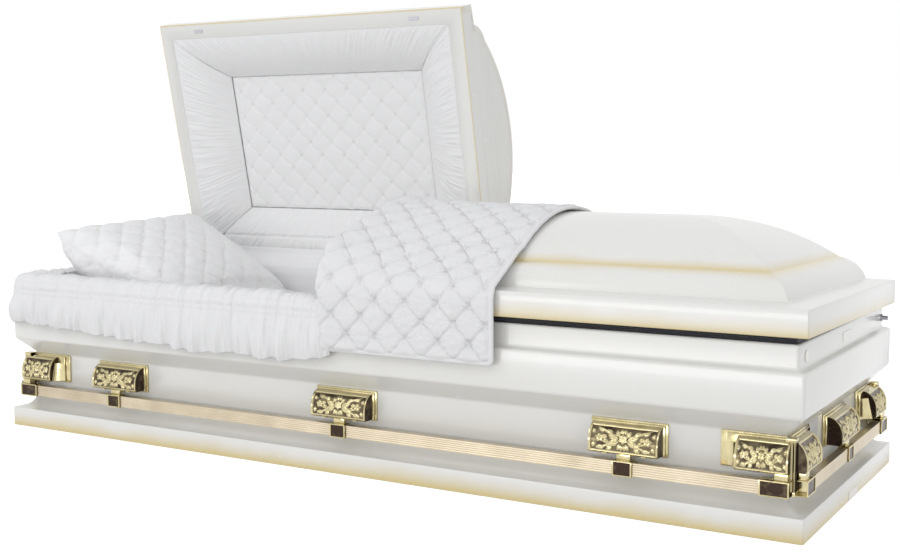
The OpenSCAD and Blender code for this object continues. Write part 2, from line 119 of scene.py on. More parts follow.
def white_seen(tree):
    """1 for the rays that show the background: straight, mirrored or through glass."""
    path = put_node(tree, "LightPath").outputs
    mirrored = maths(tree, "MAXIMUM", path["Is Glossy Ray"], path["Is Transmission Ray"])
    return maths(tree, "MAXIMUM", path["Is Camera Ray"], mirrored)


world = bpy.data.worlds.new("surround")
bpy.context.scene.world = world
world.use_nodes = True
tree = world.node_tree
tree.nodes.clear()
seen = white_seen(tree)
lit = put_node(tree, "Background", {"Color": (0.98, 0.985, 1.0, 1), "Strength": 0.90})
shown = put_node(tree, "Background", {"Color": (1, 1, 1, 1), "Strength": 1.0})
either = put_node(tree, "MixShader", {0: seen, 1: lit.outputs[0], 2: shown.outputs[0]})
put_node(tree, "OutputWorld", {"Surface": either.outputs[0]})

bm = bmesh.new()
bmesh.ops.create_grid(bm, x_segments=1, y_segments=1, size=30)
floor_mesh = bpy.data.meshes.new("floor")
bm.to_mesh(floor_mesh)
bm.free()
floor = bpy.data.objects.new("floor", floor_mesh)
bpy.context.scene.collection.objects.link(floor)
floor_paint = bpy.data.materials.new("floor_paint")
floor_paint.use_nodes = True
tree = floor_paint.node_tree
tree.nodes.clear()
bare = put_node(tree, "BsdfDiffuse", {"Color": (0.70, 0.70, 0.70, 1)})
strength = maths(tree, "MULTIPLY", white_seen(tree), 0.60)
glow = put_node(tree, "Emission", {"Color": (1, 1, 1, 1), "Strength": strength})
both = put_node(tree, "AddShader", {0: bare.outputs[0], 1: glow.outputs[0]})
put_node(tree, "OutputMaterial", {"Surface": both.outputs[0]})
floor_mesh.materials.append(floor_paint)

# ------------------------------------------------------------
# The steel body. 18-gauge sheet, pressed and mitre-welded at the corners, ground smooth and
# enamelled white; the base moulding is a separate pressing that the body stands in.

SHEET = 0.0012
HALF_L, HALF_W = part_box("base_moulding")[1].xy
WALL_IN = 0.045
CORNER_ROLL = 0.005

shading_gold = (0.66, 0.545, 0.265, 1)

BASE_OUTLINE = [(0.0015, 0), (0, 0.0015), (0, 0.048), (0.006, 0.048)] + [
    (0.006 + 0.0378 * sin(a), 0.0858 - 0.0378 * cos(a))
    for a in [radians(7.5 * k) for k in range(1, 13)]]
BODY_OUTLINE = [(0.045, SHEET), (0.045, 0.193), (0.006, 0.234), (0.006, 0.318), (0.022, 0.322),
                (0.022, 0.370), (0.052, 0.370)]


def eased(outline, radius):
    """The same outline with its corners rolled to a small radius."""
    steps = 3
    out = [Vector(outline[0])]
    for before, at, after in zip(outline, outline[1:], outline[2:]):
        a, b, c = Vector(before), Vector(at), Vector(after)
        r = min(radius, (a - b).length * 0.4, (c - b).length * 0.4)
        p, q = b + (a - b).normalized() * r, b + (c - b).normalized() * r
        for k in range(steps + 1):
            t = k / steps
            out.append(p.lerp(b, t).lerp(b.lerp(q, t), t))
    out.append(Vector(outline[-1]))
    return out


def corner_ring(inset, height, roll):
    """Points round the casket at one inset and height, with a small radius at each corner."""
    steps = 4
    hx, hy = HALF_L - inset, HALF_W - inset
    r = max(min(roll, hy), 0.000001)
    points = []
    for sx, sy, start in ((1, 1, 0), (-1, 1, 90), (-1, -1, 180), (1, -1, 270)):
        for k in range(steps + 1):
            a = radians(start + 90 * k / steps)
            points.append((sx * (hx - r) + r * cos(a), sy * (hy - r) + r * sin(a), height))
    return points


def parts_of(geometry, kind):
    return [g for g in geometry if isinstance(g, kind)]


def grow_edges(bm, edges):
    """Extrudes the edges and returns the new vertices and the new copies of the edges."""
    grown = bmesh.ops.extrude_edge_only(bm, edges=edges)["geom"]
    verts = parts_of(grown, bmesh.types.BMVert)
    fresh = set(verts)
    edges = parts_of(grown, bmesh.types.BMEdge)
    return verts, [e for e in edges if e.verts[0] in fresh and e.verts[1] in fresh]


def first_ring(bm, points):
    """A closed loop of points; "place" keeps each one's number through every extrusion."""
    place = bm.verts.layers.int.get("place") or bm.verts.layers.int.new("place")
    verts = [bm.verts.new(p) for p in points]
    for k, v in enumerate(verts):
        v[place] = k
    return place, verts, [bm.edges.new((verts[k - 1], verts[k])) for k in range(len(verts))]


def press_sides(bm, outline, roll=CORNER_ROLL):
    """Draws one outline up all four sides; "run" keeps how far each point is along the sheet."""
    run = bm.verts.layers.float.new("run")
    place, verts, edges = first_ring(bm, corner_ring(*outline[0], roll))
    gone = 0
    for before, at in zip(outline, outline[1:]):
        gone += (Vector(at) - Vector(before)).length
        points = corner_ring(*at, roll)
        verts, edges = grow_edges(bm, edges)
        for v in verts:
            v.co = points[v[place]]
            v[run] = gone


def face_out(bm):
    bmesh.ops.recalc_face_normals(bm, faces=bm.faces)


def crisp(bm, degrees=35):
    """Smooth faces that break at the edges sharper than the angle."""
    for f in bm.faces:
        f.smooth = True
    for e in bm.edges:
        e.smooth = e.calc_face_angle(0) < radians(degrees)


def piece_from(bm, name, body, finish, nodes=()):
    """Makes the mesh an object that rides on its body and wears its finish."""
    mesh = bpy.data.meshes.new(name)
    bm.to_mesh(mesh)
    bm.free()
    made = bpy.data.objects.new(name, mesh)
    bpy.context.scene.collection.objects.link(made)
    mesh.materials.append(finish)
    if body:
        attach(made, body)
    if nodes:
        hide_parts(*nodes)
    return made


def thicken(piece, thickness, offset=-1):
    wall = piece.modifiers.new("wall", "SOLIDIFY")
    wall.thickness = thickness
    wall.offset = offset
    return piece


def new_material(name, flat=False):
    """An empty material, its tree, and each point's place on the piece or on its flat weave."""
    material = bpy.data.materials.new(name)
    material.use_nodes = True
    tree = material.node_tree
    tree.nodes.clear()
    if flat:
        return material, tree, put_node(tree, "UVMap", uv_map="weave").outputs[0]
    return material, tree, put_node(tree, "TexCoord").outputs["Object"]


def close_material(tree, **sockets):
    skin = put_node(tree, "BsdfPrincipled", {k.replace("_", " "): v for k, v in sockets.items()})
    put_node(tree, "OutputMaterial", {"Surface": skin.outputs[0]})


def clouds(tree, spot, scale, detail):
    """Noise from 0 to 1; returns its output."""
    return put_node(tree, "TexNoise", {"Vector": spot, "Scale": scale, "Detail": detail}).outputs[0]


def mixed(tree, share, a, b):
    """The colour a share of the way from a to b; returns its output."""
    return put_node(tree, "Mix", {"Factor": share, "A": a, "B": b}, data_type="RGBA").outputs[2]


def bumped(tree, height, strength, distance):
    ins = {"Height": height, "Strength": strength, "Distance": distance}
    return put_node(tree, "Bump", ins).outputs[0]


def open_group(name, inputs, outputs):
    """A shader node group with number inputs, given as name and default, and named outputs."""
    group = bpy.data.node_groups.new(name, "ShaderNodeTree")
    for label, value in inputs:
        socket = group.interface.new_socket(label, in_out="INPUT", socket_type="NodeSocketFloat")
        socket.default_value = value
    for label in outputs:
        group.interface.new_socket(label, in_out="OUTPUT", socket_type="NodeSocketFloat")
    return group, put_node(group, "NodeGroupInput"), put_node(group, "NodeGroupOutput")


# Gold lacquer misted along an edge: dense on the line, gone at the reach, cloudy in between.
sprayed_edge, given, result = open_group(
    "sprayed_edge", [("Run", 0), ("Line", 0), ("Reach", 0.03), ("Density", 0.8)], ["Mask"])
apart = maths(sprayed_edge, "ABSOLUTE", maths(
    sprayed_edge, "SUBTRACT", given.outputs["Run"], given.outputs["Line"]))
spot = put_node(sprayed_edge, "TexCoord").outputs["Object"]
cloud = clouds(sprayed_edge, spot, 7, 3)
speck = clouds(sprayed_edge, spot, 420, 1)
reach = maths(sprayed_edge, "MULTIPLY", given.outputs["Reach"], maths(
    sprayed_edge, "MULTIPLY_ADD", cloud, 0.9, 0.55))
near = maths(sprayed_edge, "SUBTRACT", 1, maths(sprayed_edge, "DIVIDE", apart, reach), clamp=True)
mist = maths(sprayed_edge, "POWER", near, 1.6)
grain = maths(sprayed_edge, "MULTIPLY_ADD", speck, 0.5, 0.75)
dense = maths(sprayed_edge, "MULTIPLY", maths(sprayed_edge, "MULTIPLY", mist, grain),
              given.outputs["Density"], clamp=True)
sprayed_edge.links.new(dense, result.inputs["Mask"])


def enamel_finish(name, lines):
    """Baked white enamel with a faint orange peel, gold misted along the given lines."""
    material, tree, spot = new_material(name)
    paint = mixed(tree, clouds(tree, spot, 3.5, 4), (0.775, 0.772, 0.748, 1), (0.735, 0.728, 0.696, 1))
    run = put_node(tree, "Attribute", attribute_name="run").outputs["Fac"]
    for line, reach, density in lines:
        ins = {"Run": run, "Line": line, "Reach": reach, "Density": density}
        mask = put_node(tree, "Group", ins, node_tree=sprayed_edge).outputs[0]
        paint = mixed(tree, mask, paint, shading_gold)
    height = maths(tree, "MULTIPLY_ADD", clouds(tree, spot, 9, 1), 6, clouds(tree, spot, 260, 2))
    close_material(tree, Base_Color=paint, Normal=bumped(tree, height, 0.06, 0.0006),
                   Roughness=maths(tree, "MULTIPLY_ADD", clouds(tree, spot, 22, 5), 0.10, 0.20),
                   Coat_Weight=0.35, Coat_Roughness=0.08, Specular_IOR_Level=0.5)
    return material


def run_to(outline, count):
    """How far along the outline its point number count lies."""
    return sum((Vector(b) - Vector(a)).length for a, b in zip(outline[:count], outline[1:count + 1]))


base_enamel = enamel_finish("base_enamel", [(0.0, 0.042, 1.25)])
body_enamel = enamel_finish("body_enamel", [(0.0, 0.012, 0.10)])

bm = bmesh.new()
press_sides(bm, eased(BASE_OUTLINE, 0.003))
face_out(bm)
crisp(bm)
thicken(piece_from(bm, "base_pressing", "shell", base_enamel,
                    ["base_moulding", "base_cove"]), SHEET)

bm = bmesh.new()
press_sides(bm, eased(BODY_OUTLINE, 0.005), 0.007)
face_out(bm)
crisp(bm)
thicken(piece_from(bm, "body_pressing", "shell", body_enamel, ["body_shell"]), SHEET)


def paint_nodes(material, *names):
    """Gives CAD nodes their finish."""
    for name in names:
        slots = frame["nodes"][name].data.materials
        slots.clear()
        slots.append(material)


paint_nodes(body_enamel, "bottom_pan", "strip_plate", "base_plate", "end_plug")

# ------------------------------------------------------------
# The two lids. Each is pressed from the same sheet: an upright rim, a shelf, a rounded
# shoulder and a low crown, with a flat frame round its mouth and a plate over its cut end.

HINGE = Vector(frame["joints"][0]["pos_m"])
HEAD_OPEN = radians(frame["joints"][0]["range_deg"][1])
FOOT_AJAR = radians(0.8)
LID_Z = 0.375
CREASE = (0.104, 0.110)
CROWN = 0.207
FRAME_W = 0.042
FRAME_MASKED = 0.30   # the frame is masked when the rim is sprayed
HEAD_X = (-HALF_L, -0.018)
FOOT_X = (-0.014, HALF_L)


def lifted(angle):
    """The turn that opens a lid by an angle about its hinges."""
    y, z = HINGE.y, HINGE.z
    return (Matrix.Translation((0, y, z)) @ Matrix.Rotation(-angle, 4, "X")
            @ Matrix.Translation((0, -y, -z)))


def bulge(a, b, radius, steps):
    """Points on the arc from a to b that bows up and outwards."""
    a, b = Vector(a), Vector(b)
    d = b - a
    k = sqrt(radius ** 2 - d.length_squared / 4)
    c = (a + b) / 2 + Vector((d.y, -d.x)).normalized() * k
    start, stop = atan2(*(a - c).yx), atan2(*(b - c).yx)
    return [c + radius * Vector((cos(t), sin(t)))
            for t in [start + (stop - start) * i / steps for i in range(steps + 1)]]


crown_r = ((HALF_W - CREASE[0]) ** 2 + (CROWN - CREASE[1]) ** 2) / (2 * (CROWN - CREASE[1]))
LID_OUTLINE = ([(0.0012, 0), (0, 0.0012), (0, 0.015), (0, 0.030), (0, 0.054), (0.054, 0.059)]
               + bulge((0.054, 0.059), CREASE, 0.070, 14)[1:]
               + bulge(CREASE, (HALF_W, CROWN), crown_r, 40)[1:])


def crown_height(y):
    """Height of the crown above the rim's lower edge, straight over a place across the lid."""
    return CROWN - crown_r + sqrt(max(0, crown_r ** 2 - y * y))


LID_EASED = eased(LID_OUTLINE, 0.0035)
lid_run = run_to(LID_EASED, len(LID_EASED) - 1)
crease_run = lid_run - run_to(bulge(CREASE, (HALF_W, CROWN), crown_r, 40), 40)
lid_enamel = enamel_finish("lid_enamel", [(0.0, 0.036, 0.95), (crease_run, 0.030, 0.95)])


def press_lid(name, span, angle, body, node):
    """One lid: the pressed sides, a stepped plate over the cut end, and the frame."""
    x0, x1 = span
    at_head = x0 < -0.5
    split = x1 if at_head else x0
    bm = bmesh.new()
    press_sides(bm, LID_EASED, 0.004)
    bmesh.ops.remove_doubles(bm, verts=bm.verts, dist=0.00001)
    cut = bmesh.ops.bisect_plane(
        bm, geom=bm.verts[:] + bm.edges[:] + bm.faces[:], plane_co=(split, 0, 0),
        plane_no=(1 if at_head else -1, 0, 0), clear_outer=True)["geom_cut"]
    rim = parts_of(cut, bmesh.types.BMEdge)
    used = [v for e in rim for v in e.verts]
    ends = [v for v in set(used) if used.count(v) == 1]
    rim.append(bm.edges.new(ends))
    run = bm.verts.layers.float["run"]
    inward = -0.003 if at_head else 0.003
    for shrink, step, tint in ((0.955, 0, 0.018), (0.97, inward, 0.05)):
        verts, rim = grow_edges(bm, rim)
        for v in verts:
            v.co = (v.co.x + step, v.co.y * shrink, 0.07 + (v.co.z - 0.07) * shrink)
            v[run] = tint
    bmesh.ops.contextual_create(bm, geom=rim)
    mouth = [e for e in bm.edges if e.is_boundary]
    verts, edges = grow_edges(bm, mouth)
    for v in verts:
        v.co.x = min(max(v.co.x, x0 + FRAME_W), x1 - FRAME_W)
        v.co.y = min(max(v.co.y, FRAME_W - HALF_W), HALF_W - FRAME_W)
        v[run] = -FRAME_MASKED
    bmesh.ops.remove_doubles(bm, verts=verts, dist=0.0001)
    face_out(bm)
    crisp(bm)
    bm.transform(lifted(angle) @ Matrix.Translation((0, 0, LID_Z)))
    thicken(piece_from(bm, name, body, lid_enamel, [node]), SHEET)


press_lid("head_lid_pressing", HEAD_X, HEAD_OPEN, "head_lid", "head_lid")
press_lid("foot_lid_pressing", FOOT_X, FOOT_AJAR, "foot_lid", "foot_lid")

# ------------------------------------------------------------
# The rubber seal, an extrusion with three ribs, glued along the rim; and the painted steel
# hinge leaves and straps, with the plated latch plates and locking knob.


def mottled_finish(tree, mottle, dark, light, rough, height, bump, **more):
    """Closes a material whose colour and roughness both follow one mottle."""
    close_material(tree, Base_Color=mixed(tree, mottle, dark, light),
                   Roughness=maths(tree, "MULTIPLY_ADD", mottle, *rough),
                   Normal=bumped(tree, height, *bump), **more)


RIB = 0.0036

seal_rubber, tree, spot = new_material("seal_rubber")
high = put_node(tree, "SeparateXYZ", {0: spot}).outputs["Z"]
ribs = maths(tree, "SINE", maths(tree, "MULTIPLY", high, 2 * pi / RIB))
mottled_finish(tree, clouds(tree, spot, 60, 4), (0.022, 0.023, 0.027, 1), (0.050, 0.052, 0.060, 1),
               (0.2, 0.45), ribs, (0.9, 0.0012))
paint_nodes(seal_rubber, "rim_seal")

plated_steel, tree, spot = new_material("plated_steel")
brushed = put_node(tree, "Mapping", {"Vector": spot, "Scale": (30, 900, 900)}).outputs[0]
scratch = clouds(tree, brushed, 1, 2)
mottled_finish(tree, scratch, (0.36, 0.36, 0.41, 1), (0.58, 0.58, 0.62, 1),
               (0.2, 0.18), scratch, (0.15, 0.0003), Metallic=1.0)
paint_nodes(plated_steel, "latch_plate_a", "latch_plate_b", "lock_knob")

hinge_enamel = enamel_finish("hinge_enamel", [(0.0, 0.01, 0.1)])
for k in range(1, 5):
    paint_nodes(hinge_enamel, f"hinge_leaf_{k}", f"hinge_strap_{k}")

# ------------------------------------------------------------
# The handle bars. Thin reeded extrusions in a satin champagne gold, one along each side and
# one across each end, their ends held in the sockets of the corner castings.

bar_gold, tree, spot = new_material("bar_gold")
mottled_finish(tree, clouds(tree, spot, 14, 5), (0.46, 0.385, 0.27, 1), (0.80, 0.71, 0.55, 1),
               (0.16, 0.24), clouds(tree, spot, 380, 2), (0.08, 0.0004), Metallic=0.9)
paint_nodes(bar_gold, "bar_front", "bar_back", "bar_head", "bar_foot")

# ------------------------------------------------------------
# The lugs. Each is one die casting screwed to the wall through its stepped back plate: a
# bulged barrel with flowers and leaves in relief, plated bright gold, with painted shade darkening its
# hollows, sides and underside.

LUG_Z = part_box("lug_2")[0].z
LUG_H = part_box("lug_2")[1].z - LUG_Z
LUG_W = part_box("lug_2")[1].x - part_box("lug_2")[0].x
STEP = 0.005
BARREL_W = 0.148
BARREL_OUT = 0.041

casting_gold, tree, spot = new_material("casting_gold")
cloud = clouds(tree, spot, 42, 5)
# Painted shade: the attribute below paints shade and dark reflections into the colour of the relief's
# ground, the barrels' sides and undersides, the clips' panels and one face of each corner column.
painted_shade = put_node(tree, "Attribute", attribute_name="painted_shade").outputs["Fac"]
bright = mixed(tree, cloud, (0.38, 0.315, 0.155, 1), (0.76, 0.68, 0.42, 1))
shade_mottle = maths(tree, "MULTIPLY_ADD", cloud, 1.2, 0.60)
painted_shade_mask = maths(tree, "MULTIPLY", painted_shade, shade_mottle, clamp=True)
polish = maths(tree, "MULTIPLY_ADD", cloud, 0.10, 0.09)
# Painted shade: the colour goes towards near-black brown where the mask is full, more or less with the
# cloud.
close_material(tree, Base_Color=mixed(tree, painted_shade_mask, bright, (0.050, 0.034, 0.026, 1)),
               Roughness=maths(tree, "MULTIPLY_ADD", painted_shade, 0.15, polish), Metallic=1.0,
               Normal=bumped(tree, clouds(tree, spot, 240, 3), 0.12, 0.0005))


def block(bm, low, high, ease=0.0012):
    """A cast block between two corners with slightly rounded edges; returns its faces."""
    low, high = Vector(low), Vector(high)
    size = high - low
    place = Matrix.Translation((low + high) / 2) @ Matrix.Diagonal((*size, 1))
    verts = bmesh.ops.create_cube(bm, size=1, matrix=place)["verts"]
    edges = list({e for v in verts for e in v.link_edges})
    ease = min(ease, min(size) * 0.3)
    return bmesh.ops.bevel(bm, geom=edges, offset=ease, affect="EDGES", segments=2, profile=0.5,
                           material=-1)["faces"]


def barrel_line(height, steps):
    """The barrel's front, bottom to top, as (distance from the wall, height), evenly spaced."""
    back, reach = 2 * STEP, BARREL_OUT - 2 * STEP
    low, shoulder, top = LUG_Z + 0.004, LUG_Z + 0.022, LUG_Z + height - 0.006
    line = [(back + reach - 0.004, low), (back + reach, low + 0.005), (back + reach, shoulder)]
    for k in range(1, 25):
        a = radians(90 * k / 24)
        line.append((back + reach * cos(a), shoulder + (top - shoulder) * sin(a)))
    line = [Vector(p) for p in line]
    lengths = [0]
    for a, b in zip(line, line[1:]):
        lengths.append(lengths[-1] + (b - a).length)
    out = []
    for k in range(steps + 1):
        want = lengths[-1] * k / steps
        i = max(j for j, w in enumerate(lengths[:-1]) if w <= want + 1e-9)
        out.append(line[i].lerp(line[i + 1], (want - lengths[i]) / (lengths[i + 1] - lengths[i])))
    return out, lengths[-1]


# Leaves of the right half: root across and up, turn, length, width and rise, in millimetres
# and degrees. The left half mirrors them.
PETALS = [(0, 33, 60 * k + 30, 12, 4.2, 3.0) for k in range(6)]
END_FLOWER = [(51, 32, 72 * k + 10, 10.5, 3.8, 2.6) for k in range(5)]
LEAVES = [(10, 31, 22, 26, 6.0, 3.4), (10, 27, -18, 28, 6.0, 3.4), (8, 38, 62, 16, 4.5, 2.6),
          (6, 22, -65, 14, 4.0, 2.6), (24, 42, 38, 16, 4.4, 2.4), (24, 16, -35, 15, 4.2, 2.4),
          (34, 34, 10, 15, 4.6, 2.8), (40, 48, 12, 17, 4.0, 2.2), (40, 12, 2, 20, 4.0, 2.2),
          (62, 40, 70, 13, 3.8, 2.2), (62, 22, -72, 13, 3.8, 2.2), (30, 26, -2, 16, 4.0, 2.6),
          (12, 36, 24, 54, 2.6, 2.8), (12, 26, -20, 54, 2.6, 2.8), (3, 44, 84, 12, 4.0, 2.4),
          (3, 20, -84, 12, 4.0, 2.4)]


def leaf_height(x, s, leaf):
    """Height of one leaf, domed across, with a groove for its vein and lobes towards its edge."""
    root_x, root_s, turn, length, width, rise = leaf
    c, k = cos(radians(turn)), sin(radians(turn))
    dx, ds = x - root_x, s - root_s
    along, off = dx * c + ds * k, -dx * k + ds * c
    t = along / length
    if not 0 < t < 1:
        return 0
    half = 1.25 * width * sin(pi * t ** 0.75)
    if abs(off) >= half:
        return 0
    vein = 0.45 * exp(-(off / 0.55) ** 2)
    lobes = 0.12 * sin(along * 1.9) * abs(off) / half
    dome = rise * sqrt(1 - (off / half) ** 2) * (0.55 + 0.45 * sin(pi * t))
    return dome * (1 - vein + lobes)


def flower_relief(x, s, squeeze):
    """Height of the relief over its ground at x across and s up the barrel, in millimetres."""
    x = abs(x) / squeeze
    best = max(leaf_height(x, s, leaf) for leaf in PETALS + END_FLOWER + LEAVES)
    for cx, cs, radius in ((0, 33, 3.6), (51, 32, 3.2)):
        d = hypot(x - cx, s - cs)
        if d < radius:
            best = max(best, 3.6 * sqrt(1 - (d / radius) ** 2))
    return best


def painted_shade_layer(bm):
    """How much painted shade each point takes: darker hollows, sides and undersides, standing in for shade
    and dark reflection.
    """
    return bm.verts.layers.float.get("painted_shade") or bm.verts.layers.float.new("painted_shade")


def barrel(bm, x0, x1, height, across=110):
    """A cast barrel: its front in relief between smooth rims, closed back to the plate."""
    up = 64
    line, length = barrel_line(height, up)
    squeeze = (x1 - x0) / BARREL_W
    middle, half = (x0 + x1) / 2, (x1 - x0) / 2
    painted_shade = painted_shade_layer(bm)
    made = bmesh.ops.create_grid(bm, x_segments=across, y_segments=up, size=0.5)["verts"]
    for v in made:
        x = middle + v.co.x * (x1 - x0)
        row = round((v.co.y + 0.5) * up)
        at, before, after = line[row], line[max(row - 1, 0)], line[min(row + 1, up)]
        out = Vector(((after - before).y, -(after - before).x)).normalized()
        s = length * row / up
        edge = min((half - abs(x - middle) - 0.0035) / 0.002, (s - 0.004) / 0.002,
                   (length - 0.014 - s) / 0.002)
        field = min(max(edge, 0), 1)
        rise = flower_relief((x - middle) * 1000, s * 1000, squeeze) if field else 0
        down = field * (0.0030 - 0.001 * rise)
        # Painted shade: the relief's ground is painted darker the deeper it lies.
        v[painted_shade] = min(max((down - 0.0014) / 0.0016, 0), 1) * 0.72
        v.co = (x, -(at.x - out.x * down), at.y - out.y * down)
    front = set(made)
    # Painted shade and dark reflection on the barrel's sides and underside, which grow back to the plate.
    verts, edges = grow_edges(bm, [e for e in bm.edges if e.is_boundary and e.verts[0] in front])
    for v in verts:
        v.co.y = min(v.co.y + 0.003, -2 * STEP)
        v[painted_shade] = 0.85
    verts, _ = grow_edges(bm, edges)
    for v in verts:
        v.co.y = -2 * STEP
        v[painted_shade] = 0.85


def lug_mesh():
    """A lug: two back plates, the barrel, and two ears under it."""
    bm = bmesh.new()
    barrel(bm, -BARREL_W / 2, BARREL_W / 2, LUG_H)
    inset = (LUG_W - BARREL_W) / 4
    block(bm, (-LUG_W / 2, -STEP, LUG_Z), (LUG_W / 2, 0, LUG_Z + LUG_H), 0.002)
    block(bm, (-LUG_W / 2 + inset, -2 * STEP, LUG_Z + 0.002),
          (LUG_W / 2 - inset, -STEP * 0.5, LUG_Z + LUG_H - 0.003), 0.002)
    for side in (-1, 1):
        block(bm, (side * 0.042 - 0.006, -0.034, LUG_Z + 0.0005),
              (side * 0.042 + 0.006, -0.014, LUG_Z + 0.006), 0.0015)
    return bm


def set_cast(bm, place, name, node):
    """Stands a casting drawn against the plane y = 0 on its wall."""
    face_out(bm)
    bm.transform(place)
    if place.determinant() < 0:
        bmesh.ops.reverse_faces(bm, faces=bm.faces)
    crisp(bm, 40)
    piece_from(bm, name, "shell", casting_gold, [node])


WALL_X, WALL_Y = HALF_L - WALL_IN, HALF_W - WALL_IN
LUG_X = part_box("lug_3")[1].x - LUG_W / 2
wall_places = [Matrix.Translation((x, -WALL_Y, 0)) for x in (-LUG_X, 0, LUG_X)]
wall_places += [Matrix.Translation((x, WALL_Y, 0)) @ Matrix.Diagonal((1, -1, 1, 1))
                for x in (-LUG_X, 0, LUG_X)]
wall_places.append(Matrix.Translation((-WALL_X, 0, 0)) @ Matrix.Rotation(-pi / 2, 4, "Z"))
wall_places.append(Matrix.Translation((WALL_X, 0, 0)) @ Matrix.Rotation(pi / 2, 4, "Z"))
for k, place in enumerate(wall_places, 1):
    set_cast(lug_mesh(), place, f"lug_casting_{k}", f"lug_{k}")

# ------------------------------------------------------------
# The arms. A short neck under each lug ends in a square clip that holds the bar; its face is
# a bevelled frame round a recessed panel painted dark as shade.

BAR_OUT = 0.030
BAR_Z = (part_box("bar_front")[0].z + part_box("bar_front")[1].z) / 2
CLIP_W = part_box("arm_2")[1].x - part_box("arm_2")[0].x
CLIP_H = 2 * (BAR_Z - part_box("arm_2")[0].z)
CLIP_D = 2 * (-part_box("arm_2")[0].y - WALL_Y - BAR_OUT)


def clip_sleeve(bm, x0, x1):
    """A square sleeve round the bar whose outer face is a bevelled frame and a panel painted dark as shade.
    """
    painted_shade = painted_shade_layer(bm)
    low = Vector((x0, -BAR_OUT - CLIP_D / 2, BAR_Z - CLIP_H / 2))
    high = Vector((x1, -BAR_OUT + CLIP_D / 2, BAR_Z + CLIP_H / 2))
    place = Matrix.Translation((low + high) / 2) @ Matrix.Diagonal((*(high - low), 1))
    verts = bmesh.ops.create_cube(bm, size=1, matrix=place)["verts"]
    faces = list({f for v in verts for f in v.link_faces})
    ends = [f for f in faces if abs(f.normal.x) > 0.9]
    front = [f for f in faces if f.normal.y < -0.9]
    back = [f for f in faces if f not in ends + front]
    for part, thickness, depth in ((ends, 0.0024, 0), (ends, 0.0001, -(x1 - x0) * 0.3),
                                   (front, 0.0045, 0), (front, 0.0012, -0.0016)):
        bmesh.ops.inset_region(bm, faces=part, thickness=thickness, depth=depth)
    # Painted shade: the recessed panel is painted dark.
    for v in front[0].verts:
        v[painted_shade] = 0.9
    outer = {e for f in back + ends for e in f.edges if e.calc_face_angle(0) > 1.2}
    outer = [e for e in outer if abs(e.verts[0].co.z - BAR_Z) > CLIP_H * 0.49]
    bmesh.ops.bevel(bm, geom=outer, offset=0.0025, affect="EDGES", segments=2, profile=0.5, material=-1)


def arm_mesh():
    bm = bmesh.new()
    clip_sleeve(bm, -CLIP_W / 2, CLIP_W / 2)
    neck = CLIP_W * 0.35
    block(bm, (-neck, -BAR_OUT - 0.005, BAR_Z + CLIP_H * 0.45),
          (neck, -BAR_OUT + 0.005, LUG_Z + 0.005), 0.0015)
    return bm


for k, place in enumerate(wall_places, 1):
    set_cast(arm_mesh(), place, f"arm_casting_{k}", f"arm_{k}")

# ------------------------------------------------------------
# The corner castings. Each wraps a corner of the body: a relief barrel on both walls with a
# scooped outer end, a reeded column up the corner, and a socket for each of the two bars.

CORNER_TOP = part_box("corner_1")[1].z
CORNER_H = CORNER_TOP - LUG_Z
CORNER_REACH = HALF_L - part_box("corner_1")[0].x
COLUMN = 0.021
REED = 0.0016
COLUMN_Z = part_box("corner_1")[0].z


def pull_up(bm, plan, z0, z1):
    """Extrudes a flat outline of (x, y) points straight up."""
    verts = [bm.verts.new((x, y, z0)) for x, y in plan]
    face = bm.faces.new(verts)
    grown = bmesh.ops.extrude_face_region(bm, geom=[face])["geom"]
    for v in parts_of(grown, bmesh.types.BMVert):
        v.co.z = z1
    return parts_of(grown, bmesh.types.BMFace)


def corner_wing(bm):
    """One wing, drawn along the front wall with the casket's corner at x = 0."""
    block(bm, (-CORNER_REACH, -STEP, LUG_Z), (STEP - WALL_IN, 0, CORNER_TOP), 0.002)
    block(bm, (-CORNER_REACH + 0.014, -2 * STEP, LUG_Z + 0.002),
          (2 * STEP - WALL_IN, -STEP * 0.5, CORNER_TOP - 0.003), 0.002)
    barrel(bm, -0.137, -0.034, CORNER_H, 84)
    scoop = [(-0.159, -0.010)] + [(-0.137 - 0.020 * (1 - t) ** 2.2, -0.010 - 0.023 * t)
                                  for t in [k / 8 for k in range(1, 9)]] + [(-0.136, -0.010)]
    for v in [v for f in pull_up(bm, scoop, LUG_Z + 0.004, LUG_Z + 0.050) for v in f.verts]:
        v.co.y = -0.010 + (v.co.y + 0.010) * 0.55
    clip_sleeve(bm, -0.088, -0.030)
    block(bm, (-0.060, -BAR_OUT - 0.008, BAR_Z + CLIP_H * 0.4),
          (-0.034, -BAR_OUT + 0.008, LUG_Z + 0.006))


def reeded_column(bm):
    """The column, its two outer faces in three reeds each."""
    reeds = [((k + j / 6) * COLUMN / 3, REED * sin(pi * j / 6)) for k in range(3) for j in range(6)]
    plan = [(0, 0)] + [(t, -COLUMN - dip + REED) for t, dip in reeds]
    plan.append((COLUMN - 0.001, -COLUMN + 0.001))
    plan += [(COLUMN - REED + dip, -COLUMN + t) for t, dip in reeds[1:]]
    painted_shade = painted_shade_layer(bm)
    pull_up(bm, plan, COLUMN_Z, CORNER_TOP - 0.001)
    # Painted shade: the reeds facing the end are painted dark, those facing the side much lighter.
    for v in bm.verts:
        v[painted_shade] = 0.95 if v.co.x > COLUMN * 0.9 else 0.30
    block(bm, (0, -COLUMN, CORNER_TOP - 0.008), (COLUMN, 0, CORNER_TOP), 0.0015)
    block(bm, (0, -COLUMN, COLUMN_Z), (COLUMN, 0, COLUMN_Z + 0.010), 0.0015)


def take_in(bm, other, place):
    """Moves another drawing into place and adds it to this one."""
    other.transform(place)
    spare = bpy.data.meshes.new("spare")
    other.to_mesh(spare)
    other.free()
    bm.from_mesh(spare)
    bpy.data.meshes.remove(spare)


